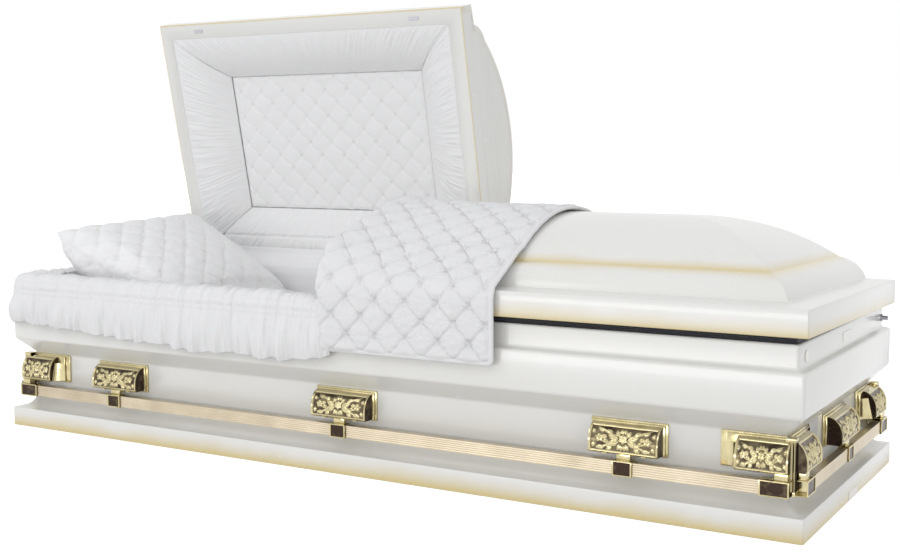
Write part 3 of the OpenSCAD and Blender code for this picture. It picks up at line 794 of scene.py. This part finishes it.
def corner_mesh():
    """The front and the end wing, which mirror each other, and the column between them."""
    bm = bmesh.new()
    corner_wing(bm)
    bm.transform(Matrix.Translation((HALF_L, -WALL_Y, 0)))
    other = bmesh.new()
    corner_wing(other)
    other.transform(Matrix.Translation((HALF_W, -WALL_X, 0)))
    take_in(bm, other, Matrix(((0, -1, 0, 0), (-1, 0, 0, 0), (0, 0, 1, 0), (0, 0, 0, 1))))
    column = bmesh.new()
    reeded_column(column)
    take_in(bm, column, Matrix.Translation((WALL_X, -WALL_Y, 0)))
    return bm


for k in range(1, 5):
    flip = Matrix.Diagonal((-1 if k % 2 == 0 else 1, -1 if k > 2 else 1, 1, 1))
    set_cast(corner_mesh(), flip, f"corner_casting_{k}", f"corner_{k}")

# ------------------------------------------------------------
# The lid linings. White crepe over card and wadding: a tufted panel in the middle and four
# shirred borders mitred round it, stapled behind the steel frame. Both lids are lined alike.

BORDER_W, BORDER_END_W, PANEL_DEPTH = 0.128, 0.143, 0.072
TUFT, BED_TUFT = 0.077, 0.14


def cloth_finish(name, light, dark, sheen, crinkle, thread=0.0007, flat=True):
    """Woven cloth: crossed threads, a crepe crinkle and a soft sheen."""
    material, tree, spot = new_material(name, flat)
    axes = put_node(tree, "SeparateXYZ", {0: spot}).outputs
    warp, weft = [maths(tree, "SINE", maths(tree, "MULTIPLY", axes[k], pi / thread)) for k in (0, 1)]
    weave = maths(tree, "MULTIPLY", maths(tree, "MULTIPLY", warp, weft), 0.25)
    crepe = clouds(tree, spot, 210, 3)
    height = maths(tree, "MULTIPLY_ADD", crepe, crinkle, weave)
    close_material(tree, Base_Color=mixed(tree, clouds(tree, spot, 16, 4), (*light, 1), (*dark, 1)),
                   Roughness=maths(tree, "MULTIPLY_ADD", crepe, 0.25, 0.62),
                   Normal=bumped(tree, height, 0.5, 0.0005), Sheen_Weight=sheen, Sheen_Roughness=0.4,
                   Specular_IOR_Level=0.25)
    return material


# Painted light: all the crepe is one white cloth, but each piece is given its own whiteness; the lid
# linings' crepe is painted lighter to make up for the shade inside the lids.
crepe_lightened_for_shade = cloth_finish("crepe_lightened_for_shade", (0.84, 0.84, 0.84), (0.80, 0.80, 0.80), 0.15, 1.0)


def lay_cloth(bm, across, along, size, place):
    """A grid of cloth whose point (u, v) lies where place says; "weave" keeps it flat."""
    weave = bm.loops.layers.uv.get("weave") or bm.loops.layers.uv.new("weave")
    made = bmesh.ops.create_grid(bm, x_segments=across, y_segments=along, size=0.5)["verts"]
    flat = {}
    for v in made:
        u, w = v.co.x + 0.5, v.co.y + 0.5
        flat[v] = (u * size[0], w * size[1])
        v.co = place(u, w)
    for f in {f for v in made for f in v.link_faces}:
        f.smooth = True
        for loop in f.loops:
            loop[weave].uv = flat[loop.vert]
    return made


def ripple(x, y, z):
    """Smooth noise from -1 to 1."""
    return noise.noise(Vector((x, y, z)))


def gathers(s, t, seed, pitch):
    """Uneven shirring from -1 to 1: folds across s that wander a little with t."""
    lean = 0.35 * ripple(s * 20, t * 3, seed)
    fold = ripple(s / pitch + lean, t * 1.6, seed)
    broad = ripple(s / pitch * 0.37 + 7, t * 2.2, seed + 3)
    return max(-1, min(1, 1.5 * fold + 0.7 * broad))


def tufting(p, q, fullness, knot_size):
    """One place in a pattern of diamonds: how full, how near a knot, how near each seam."""
    near_p, near_q = abs(p - round(p)), abs(q - round(q))
    puff = (abs(sin(pi * p)) * abs(sin(pi * q))) ** fullness
    return puff, exp(-(near_p ** 2 + near_q ** 2) / knot_size), near_p, near_q


def tufted_panel(name, span, angle, body, nodes):
    """Diamonds, each point drawn back by a stitch, with slanting folds between."""
    length = span[1] - span[0] - 2 * FRAME_W - 2 * BORDER_END_W
    width = 2 * (HALF_W - FRAME_W - BORDER_W)
    middle = (span[0] + span[1]) / 2

    def place(u, v):
        x, y = (u - 0.5) * length, (v - 0.5) * width
        bend = 0.055 * sin(2 * pi * (x + y) / TUFT)
        wander = 0.05 * ripple(x * 14, y * 14, 2.0)
        p, q = (x + y) / TUFT + wander, (x - y) / TUFT + bend + wander
        puff, stitch, near_p, near_q = tufting(p, q, 0.5, 0.005)
        fold = 0.15 * min(1, near_p * 9) + 0.85 * min(1, near_q * 10) ** 0.7
        crease = gathers(x + 0.6 * y, y, 5.0, 0.011) * 0.0005
        edge = min(1, min(u, 1 - u) * length / 0.012, min(v, 1 - v) * width / 0.012)
        down = edge * (0.0024 * puff + 0.0016 * fold - 0.0055 * stitch) + crease
        return (middle + x, y, LID_Z + PANEL_DEPTH - down + 0.002)

    bm = bmesh.new()
    lay_cloth(bm, int(length / 0.0032), int(width / 0.0032), (length, width), place)
    bmesh.ops.reverse_faces(bm, faces=bm.faces)
    bm.transform(lifted(angle))
    made = thicken(piece_from(bm, name, body, crepe_lightened_for_shade, nodes), 0.004)


def shirred_border(name, span, angle, body, side, nodes=()):
    """One border from the frame in to the panel; side 0 front, 1 back, 2 head end, 3 foot end."""
    long_side = span[1] - span[0] - 2 * FRAME_W
    short_side = 2 * (HALF_W - FRAME_W)
    run, reach, taken, out = ((long_side, BORDER_W, BORDER_END_W, short_side / 2) if side < 2 else
                              (short_side, BORDER_END_W, BORDER_W, long_side / 2))
    turn = radians((0, 180, -90, 90)[side])

    def place(u, v):
        x = (u - 0.5) * (run - 0.001 - 2 * taken * v)
        y = reach * v
        z = 0.0006 + (PANEL_DEPTH - 0.0006) * v ** 1.75
        s = (u - 0.5) * run
        if side == 1:
            band = 0 if v > 0.42 else 1
            slant = s + 0.35 * y if v > 0.42 else s
            depth = 0.0022 if band else 0.0017
            lip = 0.004 * exp(-((v - 0.43) / 0.025) ** 2)
            wrinkle = gathers(slant, v * (0.5 if band else 1), 11 + band, 0.0075) * depth - lip
        elif side == 0:
            fade = min(1, 0.25 + 1.2 * max(0, 0.62 - v)) + 0.5 * max(0, v - 0.86) / 0.14
            wrinkle = gathers(s + 0.25 * max(0, v - 0.8), v, 17, 0.009) * 0.0022 * fade
        else:
            fade = 1 - 0.75 * v
            wrinkle = gathers(s, v * 1.5, 23 + side, 0.0085) * 0.0024 * fade
        swell = 0.006 * sin(pi * v) ** 1.2
        hem = min(1, v / 0.04, (1 - v) / 0.02)
        return (x, y, max(0.0004, z - swell * v - wrinkle * hem * (0.3 + 0.7 * min(1, v / 0.15))))

    bm = bmesh.new()
    lay_cloth(bm, int(run / 0.0024), 44, (run * 1.3, reach * 1.2), place)
    bmesh.ops.reverse_faces(bm, faces=bm.faces)
    bm.transform(lifted(angle) @ Matrix.Translation(((span[0] + span[1]) / 2, 0, LID_Z))
                 @ Matrix.Rotation(turn, 4, "Z") @ Matrix.Translation((0, -out, 0)))
    made = thicken(piece_from(bm, name, body, crepe_lightened_for_shade, nodes), 0.002)


tufted_panel("head_panel_cloth", HEAD_X, HEAD_OPEN, "head_lid", ["lid_panel"])
for side, node in enumerate(("border_front", "border_back", "border_head", "border_split")):
    shirred_border(node + "_cloth", HEAD_X, HEAD_OPEN, "head_lid", side, [node])
tufted_panel("foot_panel_cloth", FOOT_X, FOOT_AJAR, "foot_lid", ["foot_lid_lining"])
for side, label in enumerate(("front", "back", "split", "foot")):
    shirred_border(f"foot_border_{label}", FOOT_X, FOOT_AJAR, "foot_lid", side)

# ------------------------------------------------------------
# The bed and the side linings. A mattress on a raised frame fills the body up to under the
# rim; satin hangs round it on card strips, and an apron of it runs up into the open lid.

# Painted light: the satin is painted lighter to make up for the shade in the body and under the open lid.
satin_lightened_for_shade = cloth_finish("satin_lightened_for_shade", (0.88, 0.88, 0.88), (0.85, 0.85, 0.855), 0.10, 0.3, 0.0005)
bed_low, bed_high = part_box("mattress")


def bed_top(u, v):
    """The quilted top of the mattress, rounded down at its edge."""
    x = bed_low.x + (bed_high.x - bed_low.x) * u
    y = bed_low.y + (bed_high.y - bed_low.y) * v
    puff = tufting((x + y) / BED_TUFT, (x - y) / BED_TUFT, 0.45, 1)[0]
    edge = min(1, min(x - bed_low.x, bed_high.x - x, y - bed_low.y, bed_high.y - y) / 0.03)
    return (x, y, bed_high.z - 0.016 + 0.012 * puff * edge + 0.004 * sqrt(edge))


bm = bmesh.new()
lay_cloth(bm, 240, 80, (2.0, 0.62), bed_top)
verts, edges = grow_edges(bm, [e for e in bm.edges if e.is_boundary])
for v in verts:
    v.co.z = bed_low.z + 0.001
bmesh.ops.contextual_create(bm, geom=edges)
face_out(bm)
crisp(bm, 60)
bed = piece_from(bm, "bed_cloth", "shell", satin_lightened_for_shade, ["mattress"])


def side_lining(name, node, seed):
    """A satin strip that hangs in slack upright folds between its top and bottom tapes."""
    low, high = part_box(node)
    long_way = 0 if high.x - low.x > high.y - low.y else 1
    length = high[long_way] - low[long_way]
    middle = (low[1 - long_way] + high[1 - long_way]) / 2

    def place(u, v):
        s = low[long_way] + length * u
        slack = sin(pi * v) ** 0.5
        wave = 0.0015 * gathers(s, v * 0.6, seed, 0.03) * slack
        across = middle + wave - copysign(0.011 * (1 - v) ** 9, middle)
        spot = [0, 0, low.z - 0.020 + (high.z - low.z + 0.020) * v]
        spot[long_way], spot[1 - long_way] = s, across
        return spot

    bm = bmesh.new()
    lay_cloth(bm, int(length / 0.005), 24, (length * 1.2, high.z - low.z + 0.022), place)
    made = thicken(piece_from(bm, name, "shell", satin_lightened_for_shade, [node]), 0.001, 0)


for seed, side in enumerate(("front", "back", "head", "foot")):
    side_lining(f"satin_{side}", f"lining_{side}", 31.0 + seed)

APRON = [Vector(p) for p in ((0.306, 0.275), (0.307, 0.335), (0.310, 0.366), (0.317, 0.385),
                             (0.334, 0.397), (0.350, 0.407), (0.3615, 0.421), (0.3640, 0.436))]
APRON_X = (-0.985, -0.026)


def along_line(points, t):
    """The point a share t of the way along a line of points."""
    lengths = [(b - a).length for a, b in zip(points, points[1:])]
    want = t * sum(lengths)
    for a, b, part in zip(points, points[1:], lengths):
        if want <= part:
            return a.lerp(b, want / part)
        want -= part
    return points[-1].copy()


def apron_place(u, v):
    """The apron, slack in the middle of its fall."""
    x = APRON_X[0] + (APRON_X[1] - APRON_X[0]) * u
    y, z = along_line(APRON, v)
    slack = sin(pi * min(1, v * 1.02))
    y -= 0.002 * slack * gathers(x, v * 0.5, 41.0, 0.06)
    return (x, y, z + 0.001 * gathers(x, 0, 43.0, 0.03))


bm = bmesh.new()
lay_cloth(bm, 300, 40, (1.05, 0.2), apron_place)
face_out(bm)
apron = thicken(piece_from(bm, "lid_apron", None, satin_lightened_for_shade), 0.0012, 0)
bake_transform(apron, "shell", "head_lid", start=(0, 0.330, 0.372), end=(0, 0.364, 0.430))

# ------------------------------------------------------------
# The throw over the front rim. A strip of crepe gathered on rows of elastic, tucked inside
# the body, laid over the rim and left to hang outside in a loose ruffle round the head corner.

THROW_START, THROW_TURN, THROW_END = -0.006, -0.995, 0.16
THROW_LINE = [Vector(p) for p in ((-0.024, 0.336), (-0.024, 0.385), (-0.016, 0.399), (0.008, 0.403),
                                  (0.030, 0.404), (0.044, 0.396), (0.052, 0.378), (0.054, 0.350))]
TURN_R = 0.020


def rim_walk(s):
    """Where the throw is after s metres from the split, and which way is out."""
    straight = THROW_START - THROW_TURN
    x_end, y_front = THROW_TURN, -0.330
    if s < straight:
        return Vector((THROW_START - s, y_front)), Vector((0, -1))
    quarter = TURN_R * pi / 2
    centre = Vector((x_end, y_front + TURN_R))
    if s < straight + quarter:
        a = (s - straight) / TURN_R
        out = Vector((-sin(a), -cos(a)))
        return centre + out * TURN_R, out
    return centre + Vector((-TURN_R, s - straight - quarter)), Vector((-1, 0))


THROW_RUN = THROW_START - THROW_TURN + TURN_R * pi / 2 + THROW_END
LAID = 0.62
THROW_FLAT = (THROW_RUN * 1.3, 0.28)


def throw_place(u, v):
    """The throw: tucked in and laid tight over the rim, then hanging loose down to its hem."""
    s = THROW_RUN * u
    spot, out = rim_walk(s)
    hem = (0.252 + 0.028 * min(1, max(0, (s - 0.45) / 0.5)) + 0.009 * ripple(s * 9, 0, 51)
           + 0.004 * ripple(s * 31, 0, 52) + 0.020 * max(0, 1 - s / 0.12))
    if v < LAID:
        o, z = along_line(THROW_LINE, v / LAID)
        loose = 0
    else:
        loose = (v - LAID) / (1 - LAID)
        o, z = 0.054 + 0.004 * sin(pi * loose), 0.350 + (hem - 0.350) * loose
    pleat = gathers(s, v * 0.6, 53.0, 0.0062)
    rows = abs(sin(pi * v / LAID * 11)) ** 0.6 if v < LAID else 1
    tight = 0.0032 * (0.25 + 0.75 * rows) * min(1, v / 0.08)
    lean = 0.012 * loose * ripple(s * 11, 4, 55)
    drape = ripple((s + lean) * 34, loose * 0.8, 57)
    swing = ripple((s + lean) * 78, loose * 1.1, 59)
    fine = ripple((s + 2 * lean) * 170, loose * 1.6, 63)
    billow = loose ** 0.7 * (0.013 * drape + 0.009 * swing + 0.0035 * fine + 0.008) - 0.006 * loose ** 2
    lift = 0.0055 * gathers(s, 0.3, 61.0, 0.019) if v < LAID else 0
    crown = sin(pi * min(1, v / LAID)) ** 2
    o -= 0.0022 * (1 - rows)
    ease = 1 - 0.55 * loose
    o += billow + tight * pleat * ease
    z += crown * (lift + 0.0026 * pleat) - 0.006 * loose * drape
    return (spot.x + out.x * o, spot.y + out.y * o, z)


bm = bmesh.new()
lay_cloth(bm, 600, 80, THROW_FLAT, throw_place)
face_out(bm)
# Painted light: the throw's crepe is painted darker than the lid linings' to hold back the light that falls
# on it.
throw_crepe_darkened_for_light = cloth_finish("throw_crepe_darkened_for_light", (0.79, 0.79, 0.79), (0.755, 0.755, 0.76), 0.15, 1.0)
throw = piece_from(bm, "throw_cloth", "shell", throw_crepe_darkened_for_light, ["front_throw"])
thicken(throw, 0.0012, 0)
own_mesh(throw)

# ------------------------------------------------------------
# The overlay quilt. Wadding between two crepes, stitched in diamonds and bound at the edge;
# it hangs down the front and lies over the end of the foot lid, folded plump at the split.

QUILT_RIGHT = 0.404
DIAMOND_X, DIAMOND_D = 0.078, 0.078


def on_lid(y, lift):
    """A place on the shut foot lid's crown, raised a little."""
    return Vector((y, LID_Z + crown_height(y) + (HINGE.y - y) * sin(FOOT_AJAR) + lift))


TIGHT = [Vector(p) for p in ((-0.3785, 0.286), (-0.3795, 0.360), (-0.3800, 0.426), (-0.3735, 0.444),
                             (-0.345, 0.461), (-0.300, 0.487), (-0.268, 0.5065))]
TIGHT += [on_lid(y, 0.004) for y in (-0.24, -0.20, -0.16, -0.12, -0.08, -0.04,
                                     0, 0.04, 0.08, 0.12, 0.15)]
PLUMP = [Vector(p) for p in ((-0.3785, 0.286), (-0.3800, 0.360), (-0.3795, 0.430), (-0.3580, 0.478),
                             (-0.325, 0.508), (-0.285, 0.527), (-0.245, 0.543), (-0.20, 0.560),
                             (-0.16, 0.573), (-0.12, 0.583), (-0.08, 0.590), (-0.04, 0.594), (0, 0.596),
                             (0.04, 0.594), (0.08, 0.588), (0.12, 0.579), (0.15, 0.570))]
DRAPE = 0.705


def quilt_spine(x, t):
    """The underside of the quilt at one place: its (y, z) and the way out of the cloth."""
    share = max(0, min(1, (0.20 - x) / 0.24)) ** 1.4
    step = 0.012
    before, at, after = [along_line(TIGHT, k).lerp(along_line(PLUMP, k), share)
                         for k in (max(0, t - step), t, min(1, t + step))]
    way = (after - before).normalized()
    return at, Vector((-way.y, way.x))


def quilt_puff(x, d):
    """Height of the wadding between its stitch lines."""
    wander = 0.10 * ripple(x * 9, d * 9, 71) + 0.03 * ripple(x * 40, d * 40, 72)
    p, q = x / DIAMOND_X + d / DIAMOND_D + wander, x / DIAMOND_X - d / DIAMOND_D + 0.6 * wander
    puff, knot, near_p, near_q = tufting(p, q, 0.26, 0.009)
    angle = atan2(near_p, near_q + 0.0001) * 4
    rays = exp(-(near_p ** 2 + near_q ** 2) / 0.09) * sin(angle * 3 + 40 * wander)
    seam = exp(-(min(near_p, near_q) / 0.035) ** 2)
    crumple = ripple(x * 38, d * 70, 73) + 0.5 * ripple(x * 120, d * 150, 76)
    return 0.0066 * puff - 0.0040 * knot - 0.0013 * seam + 0.0019 * rays + 0.0016 * crumple


QUILT_LEFT = [Vector((0, x)) for x in (-0.030, -0.040, -0.046, -0.044, -0.036, -0.032, -0.040,
                                       -0.048, -0.052)]


def quilt_left(t):
    return along_line(QUILT_LEFT, t).y


def quilt_ring(t, columns):
    """One closed loop round the quilt from its bound edge over the fold and back beneath."""
    left = quilt_left(t) + 0.004 * ripple(t * 14, 3, 74)
    close = min(1, t / 0.012, (1 - t) / 0.012)
    points, flats = [], []
    d = DRAPE * t
    for k in range(columns):
        x = QUILT_RIGHT + (left - QUILT_RIGHT) * k / (columns - 1)
        plump = max(0, min(1, (0.08 - x) / 0.12))
        base, out = quilt_spine(x, t)
        edge = min(1, (QUILT_RIGHT - x) / 0.010)
        thick = (0.004 + 0.010 * plump ** 2) + (quilt_puff(x, d) * edge + 0.002) * (0.4 + 0.6 * close)
        roll = max(0, 1 - (x - left) / 0.014)
        drop = (0.016 + 0.010 * plump) * (1 - sqrt(max(0, 1 - roll * roll)))
        away = max(thick - drop, -0.003)
        points.append((x - 0.002 * roll, base.x + out.x * away, base.y + out.y * away))
        flats.append((x, d))
    for k in range(10):
        x = left + 0.002 + (QUILT_RIGHT - left - 0.004) * k / 9
        base, out = quilt_spine(x, t)
        under = 0.0005 if k else -0.004
        points.append((x, base.x + out.x * under, base.y + out.y * under))
        flats.append((x, d))
    return points, flats


# Painted light: the quilt's crepe is painted darker than the lid linings' to hold back the light that falls
# on it.
quilt_crepe_darkened_for_light = cloth_finish("quilt_crepe_darkened_for_light", (0.77, 0.77, 0.77), (0.74, 0.74, 0.745), 0.15, 1.0)


def loft(bm, rings):
    """Skins closed loops of points one after another; "weave" keeps the flat cloth."""
    weave = bm.loops.layers.uv.get("weave") or bm.loops.layers.uv.new("weave")
    points, flats = rings[0]
    place, verts, edges = first_ring(bm, points)
    flat = {v: flats[v[place]] for v in verts}
    bmesh.ops.contextual_create(bm, geom=edges)
    for points, flats in rings[1:]:
        verts, edges = grow_edges(bm, edges)
        for v in verts:
            v.co = points[v[place]]
            flat[v] = flats[v[place]]
    bmesh.ops.contextual_create(bm, geom=edges)
    for f in bm.faces:
        f.smooth = True
        for loop in f.loops:
            loop[weave].uv = flat[loop.vert]


ROWS, COLUMNS = 300, 250
bm = bmesh.new()
loft(bm, [quilt_ring(k / ROWS, COLUMNS) for k in range(ROWS + 1)])
face_out(bm)
quilt = piece_from(bm, "quilt_cloth", "foot_lid", quilt_crepe_darkened_for_light, ["quilt"])
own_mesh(quilt)


def bound_edge(points, width, depth):
    """Rings of a soft bias binding along a line of (place, out) pairs."""
    sides = 10
    rings, gone = [], 0
    for k, (spot, out) in enumerate(points):
        before, after = points[max(k - 1, 0)][0], points[min(k + 1, len(points) - 1)][0]
        ahead = (after - before).normalized()
        side = ahead.cross(out).normalized()
        gone += (spot - before).length
        pucker = 1 + 0.12 * ripple(gone * 60, 0, 75)
        loop = []
        for j in range(sides):
            a = 2 * pi * j / sides
            loop.append(spot + side * cos(a) * width / 2 * pucker
                        + out * sin(a) * depth / 2 * pucker)
        rings.append((loop, [(gone, 0.02 * j / sides) for j in range(sides)]))
    return rings


TURN, SIT = 0.010, 0.004   # the binding's turn at the corner, and how far it sits off the cloth
edge_points = []
for k in range(90):
    x = quilt_left(0) + 0.004 + (QUILT_RIGHT - 0.014 - quilt_left(0)) * k / 89
    base = quilt_spine(x, 0)[0]
    edge_points.append((Vector((x, base.x - SIT, base.y + 0.001)), Vector((0, -1, 0))))
for k in range(1, 7):
    a = radians(15 * k)
    base = quilt_spine(QUILT_RIGHT, 0.014)[0]
    edge_points.append((Vector((QUILT_RIGHT - TURN + TURN * sin(a), base.x - SIT,
                                base.y + 0.001 - TURN * cos(a))), Vector((0, -1, 0))))
for k in range(3, 150):
    base, out = quilt_spine(QUILT_RIGHT, k / 149)
    edge_points.append((Vector((QUILT_RIGHT, base.x + out.x * 0.005, base.y + out.y * 0.005)),
                        Vector((0, out.x, out.y))))
bm = bmesh.new()
loft(bm, bound_edge(edge_points, 0.012, 0.0085))
face_out(bm)
binding = piece_from(bm, "quilt_binding", "foot_lid", quilt_crepe_darkened_for_light)
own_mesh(binding)

# ------------------------------------------------------------
# The pillow. A large soft case that leans on the head end, filled loosely; its cover is tucked
# in squares on the near part and left plain towards the back.

PILLOW = [Vector(p) for p in ((-1.006, -0.262, 0.512), (-1.003, 0.286, 0.536),
                              (-0.612, 0.268, 0.318), (-0.575, -0.262, 0.312))]
TUCK = 0.058


def pillow_mid(u, v):
    return PILLOW[0].lerp(PILLOW[1], u).lerp(PILLOW[3].lerp(PILLOW[2], u), v)


PILLOW_OUT = (PILLOW[3] - PILLOW[0]).cross(PILLOW[1] - PILLOW[0]).normalized()


def pillow_case(bm, upper):
    """One side of the case; the under side sinks back to the bed and the head end."""
    def place(u, v):
        arch = max(0, sin(pi * u)) * max(0, sin(pi * v))
        full = arch ** 0.42
        pull = 0.045 * (1 - full)
        spot = pillow_mid(u + (0.5 - u) * pull * sin(pi * v) ** 2,
                          v + (0.5 - v) * pull * sin(pi * u) ** 2)
        if upper:
            return spot + PILLOW_OUT * 0.056 * full
        deep = 0.20 * (1 - v) ** 0.6 * arch ** 0.24
        spot = spot + Vector((0.25, 0, -1)) * deep
        spot.z = max(spot.z, 0.2565)
        return spot

    made = lay_cloth(bm, 74, 64, (0.55, 0.47), place)
    if not upper:
        bmesh.ops.reverse_faces(bm, faces=list({f for v in made for f in v.link_faces}))


bm = bmesh.new()
pillow_case(bm, True)
pillow_case(bm, False)
bmesh.ops.remove_doubles(bm, verts=bm.verts, dist=0.0004)
face_out(bm)
# Painted light: the pillow's crepe is painted lighter than the throw's to make up for the shade it sits in.
pillow_crepe_lightened_for_shade = cloth_finish("pillow_crepe_lightened_for_shade", (0.85, 0.85, 0.85), (0.815, 0.815, 0.815), 0.15, 1.0, flat=False)
pillow = piece_from(bm, "pillow_case", "shell", pillow_crepe_lightened_for_shade, ["pillow"])


def bake_modifiers(piece):
    """Replaces the mesh of a piece by what its modifiers make of it."""
    bpy.context.view_layer.update()
    seen = piece.evaluated_get(bpy.context.evaluated_depsgraph_get())
    done = bpy.data.meshes.new_from_object(seen)
    piece.modifiers.clear()
    old, piece.data = piece.data, done
    bpy.data.meshes.remove(old)


remesh = pillow.modifiers.new("remesh", "REMESH")
remesh.mode = "VOXEL"
remesh.voxel_size = 0.0055
remesh.use_smooth_shade = True
bake_modifiers(pillow)
DRIFT = 0.010   # the most that the filling's pressure moves any point
start = [v.co.copy() for v in pillow.data.vertices]
swell = pillow.modifiers.new("swell", "CLOTH")
swell.settings.use_pressure = True
swell.settings.uniform_pressure_force = 4
swell.settings.effector_weights.gravity = 0
for at in range(1, 21):
    bpy.context.scene.frame_set(at)
bake_modifiers(pillow)
bpy.context.scene.frame_set(1)
for v, was in zip(pillow.data.vertices, start):
    moved = v.co - was
    if moved.length > DRIFT:
        v.co = was + moved * (DRIFT / moved.length)
finer = pillow.modifiers.new("finer", "SUBSURF")
finer.levels = finer.render_levels = 1
bake_modifiers(pillow)

down_slope = (PILLOW[3] - PILLOW[0]).normalized()
bm = bmesh.new()
bm.from_mesh(pillow.data)
bm.normal_update()
for v in bm.verts:
    y = v.co.y + 0.262
    w = (v.co - PILLOW[0]).dot(down_slope)
    near = 1 - max(0, min(1, (y / 0.55 - 0.62) / 0.25))
    upper = max(0, min(1, v.normal.dot(PILLOW_OUT) * 1.6 + 0.5))
    wander = 0.07 * noise.noise(v.co * 12)
    p, q = (y + w) * 0.7071 / TUCK + wander, (y - w) * 0.7071 / TUCK + 0.8 * wander
    puff, knot, near_p, near_q = tufting(p, q, 0.35, 0.014)
    tug = exp(-(near_p ** 2 + near_q ** 2) / 0.07) * sin(12 * atan2(near_p, near_q + 0.0001))
    crumple = 0.0020 * noise.noise(v.co * 30) + 0.0010 * noise.noise(v.co * 85) + 0.0009 * near * tug
    v.co += v.normal * (upper * near * (0.0062 * puff - 0.0058 - 0.004 * knot) + crumple)
    v.co.z = max(v.co.z, 0.2545)
for f in bm.faces:
    f.smooth = True
bm.to_mesh(pillow.data)
bm.free()
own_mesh(pillow)
